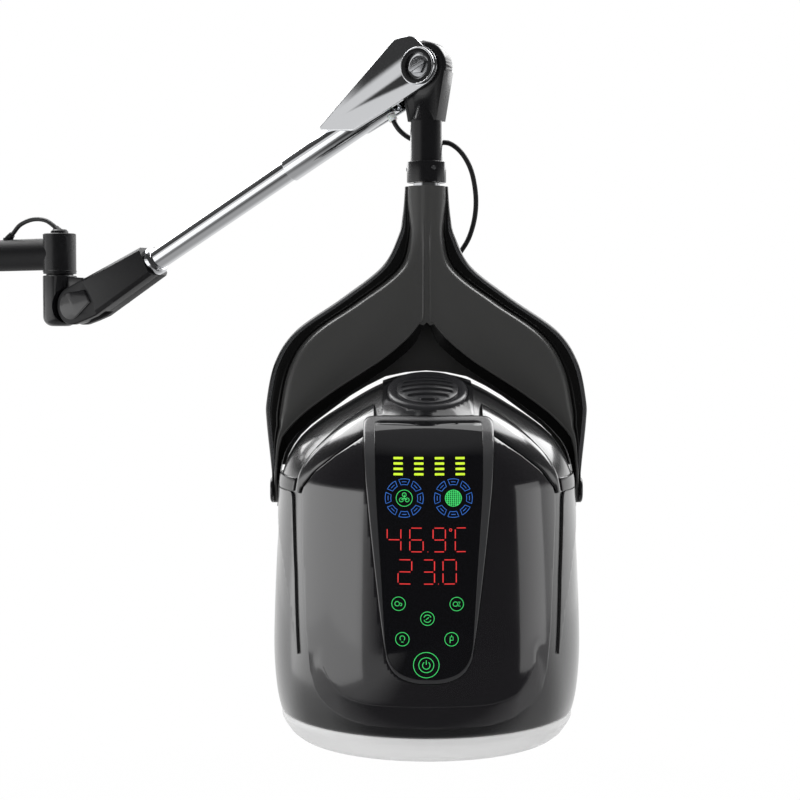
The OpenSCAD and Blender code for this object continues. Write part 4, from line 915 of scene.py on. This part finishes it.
# Height of a row at the outer edge and at the inner edge, and the number of rows from there to the next one
row_stops = [(355, 355, 1), (352, 351, 3), (340, 338, 5), (322, 316, 6), (299, 285, 9), (263, 245, 6),
             (245, 220, 6), (226, 197, 7), (205, 172, 6), (188, 152, 10), (150, 120, 11), (105, 82, 7),
             (80, 60, 10), (36, 28, 5), (16, 12, 5), (0, 0, 4), (-8, -8, 3), (-13, -13, 2), (-15, -15, 0)]
rows = []
for (high, low, count), (high_2, low_2, _) in zip(row_stops, row_stops[1:]):
    rows += [(high + (high_2 - high) * k / count, low + (low_2 - low) * k / count) for k in range(count)]
rows.append(row_stops[-1][:2])


def row_ends(i):
    """A row's outer and inner ends and the distance between them."""
    high, low = rows[i]
    edge = Vector((across(yoke_edge, high), high))
    foot = Vector((across(yoke_inner, low) if low < APEX_Z else 0, low))
    return edge, foot, (foot - edge).length


def rim_width(z):
    return 2.6 + 17.5 * ease((352 - z) / 85) - 17 * ease((70 - z) / 55)


def end_share(z):
    return sqrt(max(0, 1 - (min(z, 0) / 15.01) ** 2))


def wing(x, z, share):
    """How far the satin front stands before the middle plane: a round neck that opens into two wings."""
    column = 25.5 * sqrt(max(0.1, 1 - (x / 26.5) ** 2))
    ridge = 3 * exp(-((share - 0.45) / 0.22) ** 2) * ease((260 - z) / 60)
    body = 24.5 - 8 * (x / 188) ** 2 + ridge - 2.5 * ease((0.45 - share) / 0.45)
    keel = 1.4 * ease(1 - x / (8 + 14 * ease((300 - z) / 100))) * ease((z - 180) / 40)
    narrow = ease((z - 250) / 60)
    return (column * narrow + body * (1 - narrow) + keel) * (1 - 0.36 * ease((95 - z) / 90))


# The front's columns: the rim's steps, the climb to the wing, the wing, the foot band and the return
rim_steps = [0, 0.03, 0.1, 0.22, 0.4, 0.6, 0.72, 0.76, 0.8, 0.84, 0.88, 0.94, 1.0]
rim_heights = [0, 0.3, 0.55, 0.78, 0.94, 1.0, 1.0, 1.09, 1.12, 1.09, 0.97, 0.94, 0.94]
RIM, CLIMB, WING, FOOT = 13, 18, 32, 36
FRONT_COLUMNS = FOOT + 2
FOOT_WIDTH = 12.0


def front_rule(i, j):
    high, low = rows[i]
    edge, foot, width = row_ends(i)
    rim = min(rim_width(high), 0.5 * width)
    over_hood = ease((205 - low) / 35)
    run = Vector((across(yoke_inner, low - 3) - across(yoke_inner, low + 3), -6)).normalized()
    way = (foot - edge) / width
    slant = max(0.35, abs(run.x * way.y - run.y * way.x))
    strip = min(4 + (FOOT_WIDTH / slant - 4) * over_hood, 0.35 * width)
    fine = ease((335 - high) / 50)
    climb = min(7, 0.3 * (width - rim - strip))
    low_height = (9.5 - 1.2 * ease((90 - high) / 60)) * (1 - 0.1 * ease((40 - high) / 40))
    t = (j - RIM + 1) / (CLIMB - RIM)
    step = j - WING
    if j < RIM:
        d = rim * rim_steps[j]
    elif j < CLIMB:
        d = rim + climb * t
    elif j < WING:
        d = rim + climb + (width - rim - climb - strip - 1.5) * (j - CLIMB + 1) / (WING - CLIMB)
    elif j < FOOT:
        d = width - strip + (0, 1.2, 0.5 * strip, strip)[step]
    else:
        d = width
    spot = edge.lerp(foot, d / width)
    height = wing(spot.x, spot.y, 1 - d / width)
    if j < RIM:
        height = low_height * rim_heights[j]
    elif j < CLIMB:
        start = low_height * rim_heights[-1]
        height = start + (height - start) * sqrt(1 - (1 - t) ** 2)
    elif WING <= j < FOOT:
        height = height + (0.9, -0.5, -0.5, -0.4)[step] * fine - (0, 0, 2.1, 4.6)[step] * over_hood
    elif j >= FOOT:
        height = (height - 0.4 * fine - 4.6 * over_hood) * (1 - (j - FOOT + 1) / 2 * (low < APEX_Z))
    if high < 22 and 0 < j < FOOT:
        height = height + (14.5 * (1 - 0.15 * (j < 2)) - height) * ease((22 - high) / 14)
    return Vector((spot.x, -height * end_share(high), spot.y))


REAR_ROUND, REAR_FLAT = 9, 19


def rear_rule(i, j):
    high, low = rows[i]
    edge, foot, width = row_ends(i)
    deep = 25 + 11 * ease((300 - high) / 50) - 14 * ease((120 - high) / 80) - 6.8 * ease((40 - high) / 40)
    rounding = min(13, 0.45 * width)
    spot, height = foot, deep
    if j < REAR_ROUND:
        a = radians(90 * j / 8)
        spot = edge.lerp(foot, rounding * (1 - cos(a)) / width)
        height = deep * sin(a)
    elif j < REAR_FLAT:
        spot = edge.lerp(foot, (rounding + (width - rounding) * (j - 8) / 10) / width)
    else:
        height = deep * (1 - (j - 18) / 3 * (low < APEX_Z))
    return Vector((spot.x, height * end_share(high), spot.y))


def rim_or_foot(i, j):
    return j < RIM - 2 or j > WING and rows[i][1] < APEX_Z


yoke_front = sheet("yoke_front_shell", len(rows), FRONT_COLUMNS, front_rule, glossy=rim_or_foot)
fit(put(smooth(yoke_front, 32), IN_YOKE), "yoke", (yoke_satin, yoke_gloss), "yoke_front")
yoke_rear = sheet("yoke_rear_shell", len(rows), REAR_FLAT + 3, rear_rule)
fit(put(smooth(yoke_rear, 32), IN_YOKE), "yoke", yoke_gloss, "yoke_rear")

# The web behind the apex, between the yoke's foot and the hood's outline

web = [(across(yoke_inner, z) + 6, z) for z in range(28, 192, 6)] + [(6, 199)]
crown_line = [(hood_at(z, 1)[0].x + 2, z) for z in (28, 40, 52, 64, 76, 88)]
web = both([(0, 204)] + web[::-1] + crown_line + [(90, 110), (70, 122), (48, 133), (24, 138), (0, 140)])
fit(put(plate("yoke_web", web, 2.5), IN_YOKE @ shift(0, 22.5, 0) @ about("X", 90)), "yoke", yoke_satin,
    "yoke_rear")

# Wall bracket and boom

dressed("wall_bracket", "wall", black_paint, 1.2)
dressed("wall_pin", "wall", steel, 0.5)

boom = turned("boom_tube_smooth", [(21.5, WALL_X), (21.5, ELBOW_X), (19, ELBOW_X), (19, WALL_X)])
put(boom, about("Y", 90))
for x in (WALL_X, ELBOW_X):
    cut_out(boom, round_bar("socket_room", 22, 80, (x, 0, 0)))
cut_out(boom, round_bar("gland_room", 7.02, 9, (372, 0, 24.8)))
fit(smooth(boom), "boom", boom_paint, "boom_tube")

for x, top in ((WALL_X, [(21.2, 27), (13, 27)]), (ELBOW_X, [(21.2, 27), (16.2, 27), (16.2, 17), (13, 17)])):
    ridge = side_round([(22, -26.4), (22, -24), (22.6, -24), (22.6, -22.8), (22, -22.8), (22, 26.2)], 0.1, 1)
    lathed("boom_socket", ridge[:-1] + [(22, 26.2)] + top + [(13, -27), (21.4, -27)], shift(x, 0, 0),
           "boom", black_paint, "boom_sockets")
dressed("boom_gland", "boom", black_moulding, 0.5)
dressed("elbow_cap", "boom", black_moulding, 0.5)

# Knuckle: a round cup below the socket, cut away beside the tongue that carries the lift pivot

cup = turned("knuckle_smooth", [(0, -29.3), (21.5, -29.3), (22.5, -30.3)] + arc(9.5, -84, 13, 0, -90, 10)
             + [(0, -97)])
put(cup, shift(ELBOW_X, 0, 0))
for side in (1, -1):
    cut_out(cup, round_bar("cheek_room", 28.7, 50, (LIFT_X, side * 32.9, LIFT_Z), (radians(90), 0, 0)))
tongue = plate("tongue", [(ELBOW_X, -30.4), (511, -32.8), (514, -36.3), (518, -58)]
               + arc(LIFT_X, LIFT_Z, 24, 24, -90, 19) + [(ELBOW_X, -94)], 15.8)
cut_out(cup, put(tongue, shift(0, 7.9, 0) @ about("X", 90)), "UNION")
fit(eased(cup, 0.9), "knuckle", black_paint, "knuckle")

# Lift arm

dressed("shroud_near", "arm", black_moulding, 0.8, 40)
dressed("shroud_far", "arm", black_moulding, 0.8, 40)
dressed("pivot_covers", "arm", cover_gloss, 0.4)
dressed("lift_bolt", "arm", steel, 0.4)

lathed("arm_tube_smooth", [(13.4, 48), (14, 48.6), (14, 537.6), (13.4, 538), (12, 538), (12, 48)],
       TUBE, "arm", chrome, "arm_tube", 128)
ring = [(14.02, 137.1), (19, 137.1), (19, 143.1), (17, 146.1), (15, 146.9), (14.02, 146.9)]
lathed("arm_collar_smooth", side_round(ring, 1, 3), TUBE, "arm", chrome, "arm_collar")
lathed("bracket_sleeve", side_round([(14.02, 377), (16.5, 377), (16.5, 539), (14.02, 539)], 0.6, 3),
       TUBE, "arm", chrome, "head_bracket", 128)

cheek = ([(-112, -20), (-150, 4), (-150, 8), (-19, 44), (-13, 45), (5, 38), (10, 33)]
         + arc(0, 0, 23, 48, -90, 23) + [(-57, -22.5)])
for side in (1, -1):
    piece = plate("bracket_cheek", side_round(cheek, 3, 3), 4)
    cut_out(piece, round_bar("bolt_room", 6.02, 20))
    put(eased(piece, 0.7), ARM_END @ shift(0, side * 16.4 + 2, 0) @ about("X", 90))
    fit(piece, "arm", chrome, "head_bracket")
bridge = plate("bracket_bridge", side_round([(-150, 8), (-42, 37.7), (-42, 34.5), (-150, 4.5)], 0.8, 2), 24.8)
put(bridge, ARM_END @ shift(0, 12.4, 0) @ about("X", 90))
fit(eased(bridge, 0.3, 2), "arm", chrome, "head_bracket")

hub_cup = side_round([(6.02, 0), (19.4, 0), (19.4, 7.5), (15.4, 7.5), (15.4, 1.5), (6.02, 1.5)], 0.5, 2)
hub_ring = side_round([(19.42, 0), (22, 0), (22, 6.5), (21.2, 7.8), (20.2, 7.8), (19.42, 6.9)], 0.7, 3)
for side in (1, -1):
    face = Matrix.Translation(HUB) @ shift(0, -side * 16.4, 0) @ about("X", 90 * side)
    lathed("hub_cup_smooth", hub_cup, face, "arm", black_moulding, "hub_cup")
    lathed("hub_ring_smooth", hub_ring, face, "arm", chrome, "hub_ring")
dressed("hub_bolt", "arm", steel, 0.4)
dressed("lead_sleeve", "arm", white_nylon, 0.3)

# Hanger

dressed("hanger_head", "hanger", black_paint, 0.6, 40)
dressed("collar_screws", "hanger", steel, 0.3)
dressed("lead_clip", "hanger", black_moulding, 0.4)
lathed("hanger_tube_smooth", [(19, 8), (19, 71), (16, 71), (16, 8)], SWIVEL, "hanger", black_paint,
       "hanger_tube")
ring = side_round([(14.52, 0), (23, 0), (23, 24), (19.02, 24), (19.02, 8), (14.52, 8)], 1, 3)
collar = put(turned("hanger_collar_smooth", ring), SWIVEL)
for a in (200, 320):
    way = Vector((cos(radians(a)), sin(radians(a)), 0))
    spot = (HUB.x / MM + 21 * way.x, 21 * way.y, COLLAR_Z / MM + 16)
    cut_out(collar, round_bar("screw_room", 2.6, 8, spot, way.to_track_quat("Z", "Y").to_euler(), 32))
fit(smooth(collar), "hanger", black_paint, "hanger_collar")

pin = [(0, -43), (11, -43), (12, -42), (12, -5), (15, -5), (15.6, -4.4), (15.6, -0.8), (15, -0.2),
       (12, -0.2), (12, 59), (11, 60), (0, 60)]
lathed("swivel_pin_smooth", pin, SWIVEL, "yoke", chrome, "swivel_pin")
dressed("yoke_gland", "yoke", black_moulding, 0.4)
pivot_cap = side_round([(0, 3.6), (13.4, 3.2), (15, 1.6), (15, 0.1), (8.5, 0.1), (8.5, 2), (0, 2)], 0.01, 1)
for side in (1, -1):
    lathed("pivot_cap_smooth", pivot_cap, IN_YOKE @ about("Y", 90 * side) @ shift(0, 0, 180), "yoke",
           cover_gloss, "pivot_caps", 64)
dressed("inner_liner", "hood", liner_finish, 0)


# Studio: a pale floor, a white surround and soft lamps

WHITE = (1, 1, 1, 1)


def seen_straight(tree, rays):
    return maths(tree, "MAXIMUM", rays["Is Camera Ray"], rays["Is Transmission Ray"])


bpy.ops.mesh.primitive_plane_add(size=12, location=(0.9, 0, -1.35))
floor = bpy.context.object
floor.name = "floor"
pale = bpy.data.materials.new("pale_floor")
pale.use_nodes = True
tree = pale.node_tree
matt = tree.nodes["Principled BSDF"]
matt.inputs["Base Color"].default_value = (0.86, 0.86, 0.86, 1)
matt.inputs["Roughness"].default_value = 0.8
rays = node(tree, "LightPath").outputs
glossy = rays["Is Glossy Ray"]
where = object_place(tree)
# Far from the object the floor is as white as the surround, so that no horizon shows
away = node(tree, "VectorMath", where, operation="LENGTH").outputs["Value"]
seen = times(tree, seen_straight(tree, rays), spread(tree, away, 0.8, 3.0, 0.85, 1.0))
# Polished faces see it white far behind, grey below and to the left, and dark in front of the hood
ahead = along(tree, where, FRONT)
front = times(tree, spread(tree, ahead, -1.6, -0.4, 0.85, 0.4), spread(tree, ahead, 0.3, 0.9, 1.0, 0.0))
left = spread(tree, along(tree, where, RIGHT), -0.8, -1.8, 0.0, 0.45)
mirrored = spread(tree, maths(tree, "MAXIMUM", front, left), 0.0, 1.0, 0.05, 0.85)
strength = maths(tree, "ADD", times(tree, glossy, mirrored), maths(tree, "SUBTRACT", 1.0, glossy))
glow = node(tree, "Emission", Color=WHITE, Strength=strength)
blended = node(tree, "MixShader", maths(tree, "MAXIMUM", seen, glossy), matt.outputs[0], glow.outputs[0])
feed(tree, tree.nodes["Material Output"].inputs["Surface"], blended.outputs[0])
floor.data.materials.append(pale)

# The room that polished faces show: dark behind the camera and overhead, white round the back
world = bpy.data.worlds.new("studio")
scene.world = world
world.use_nodes = True
tree = world.node_tree
tree.nodes.clear()
rays = node(tree, "LightPath").outputs
way = node(tree, "TexCoord").outputs["Generated"]
up = node(tree, "SeparateXYZ", way).outputs["Z"]
back = times(tree, spread(tree, along(tree, way, FRONT), 0.3, -0.3), spread(tree, up, 0.06, 0.16, 1.0, 0.08))
top = spread(tree, up, 0.85, 0.97, 0.0, 0.2)
low_left = times(tree, spread(tree, along(tree, way, RIGHT), -0.55, -0.8, 0.0, 0.75),
                 spread(tree, up, 0.12, 0.2, 1.0, 0.0))
bright = maths(tree, "MAXIMUM", back, maths(tree, "MAXIMUM", top, low_left))
room, plain, ambient = [node(tree, "Background", Color=WHITE, Strength=strength).outputs[0]
                        for strength in (spread(tree, bright, 0.0, 1.0, 0.04, 0.9), 1.0, 0.85)]
lighting = node(tree, "MixShader", rays["Is Glossy Ray"], ambient, room).outputs[0]
shown = node(tree, "MixShader", seen_straight(tree, rays), lighting, plain).outputs[0]
node(tree, "OutputWorld", Surface=shown)


HOOD = Vector((1.0404, -0.0217, -0.33))


def lamp(name, right, front, up, size, power):
    """A soft lamp beside the hood, aimed at its middle."""
    data = bpy.data.lights.new(name, "AREA")
    data.shape = "RECTANGLE"
    data.size, data.size_y = size
    data.energy = power
    obj = bpy.data.objects.new(name, data)
    obj.location = HOOD + right * RIGHT + front * FRONT + Vector((0, 0, up))
    obj.rotation_euler = (HOOD - obj.location).to_track_quat("-Z", "Y").to_euler()
    scene.collection.objects.link(obj)


lamp("left_box", -1.6, 0.25, -0.17, (2.3, 0.9), 5)
lamp("right_box", 1.6, 0.35, -0.05, (0.7, 0.9), 1.4)
for kind, *place in (("high", -1.25, 1.15, (1.5, 1.3), 20), ("top", -0.55, 1.6, (1.0, 0.9), 12)):
    lamp("left_" + kind, -0.95, *place)
    lamp("right_" + kind, 0.95, *place)
lamp("top", 0, -0.8, 2.0, (1.4, 1.0), 6)

scene.view_settings.view_transform = "Standard"
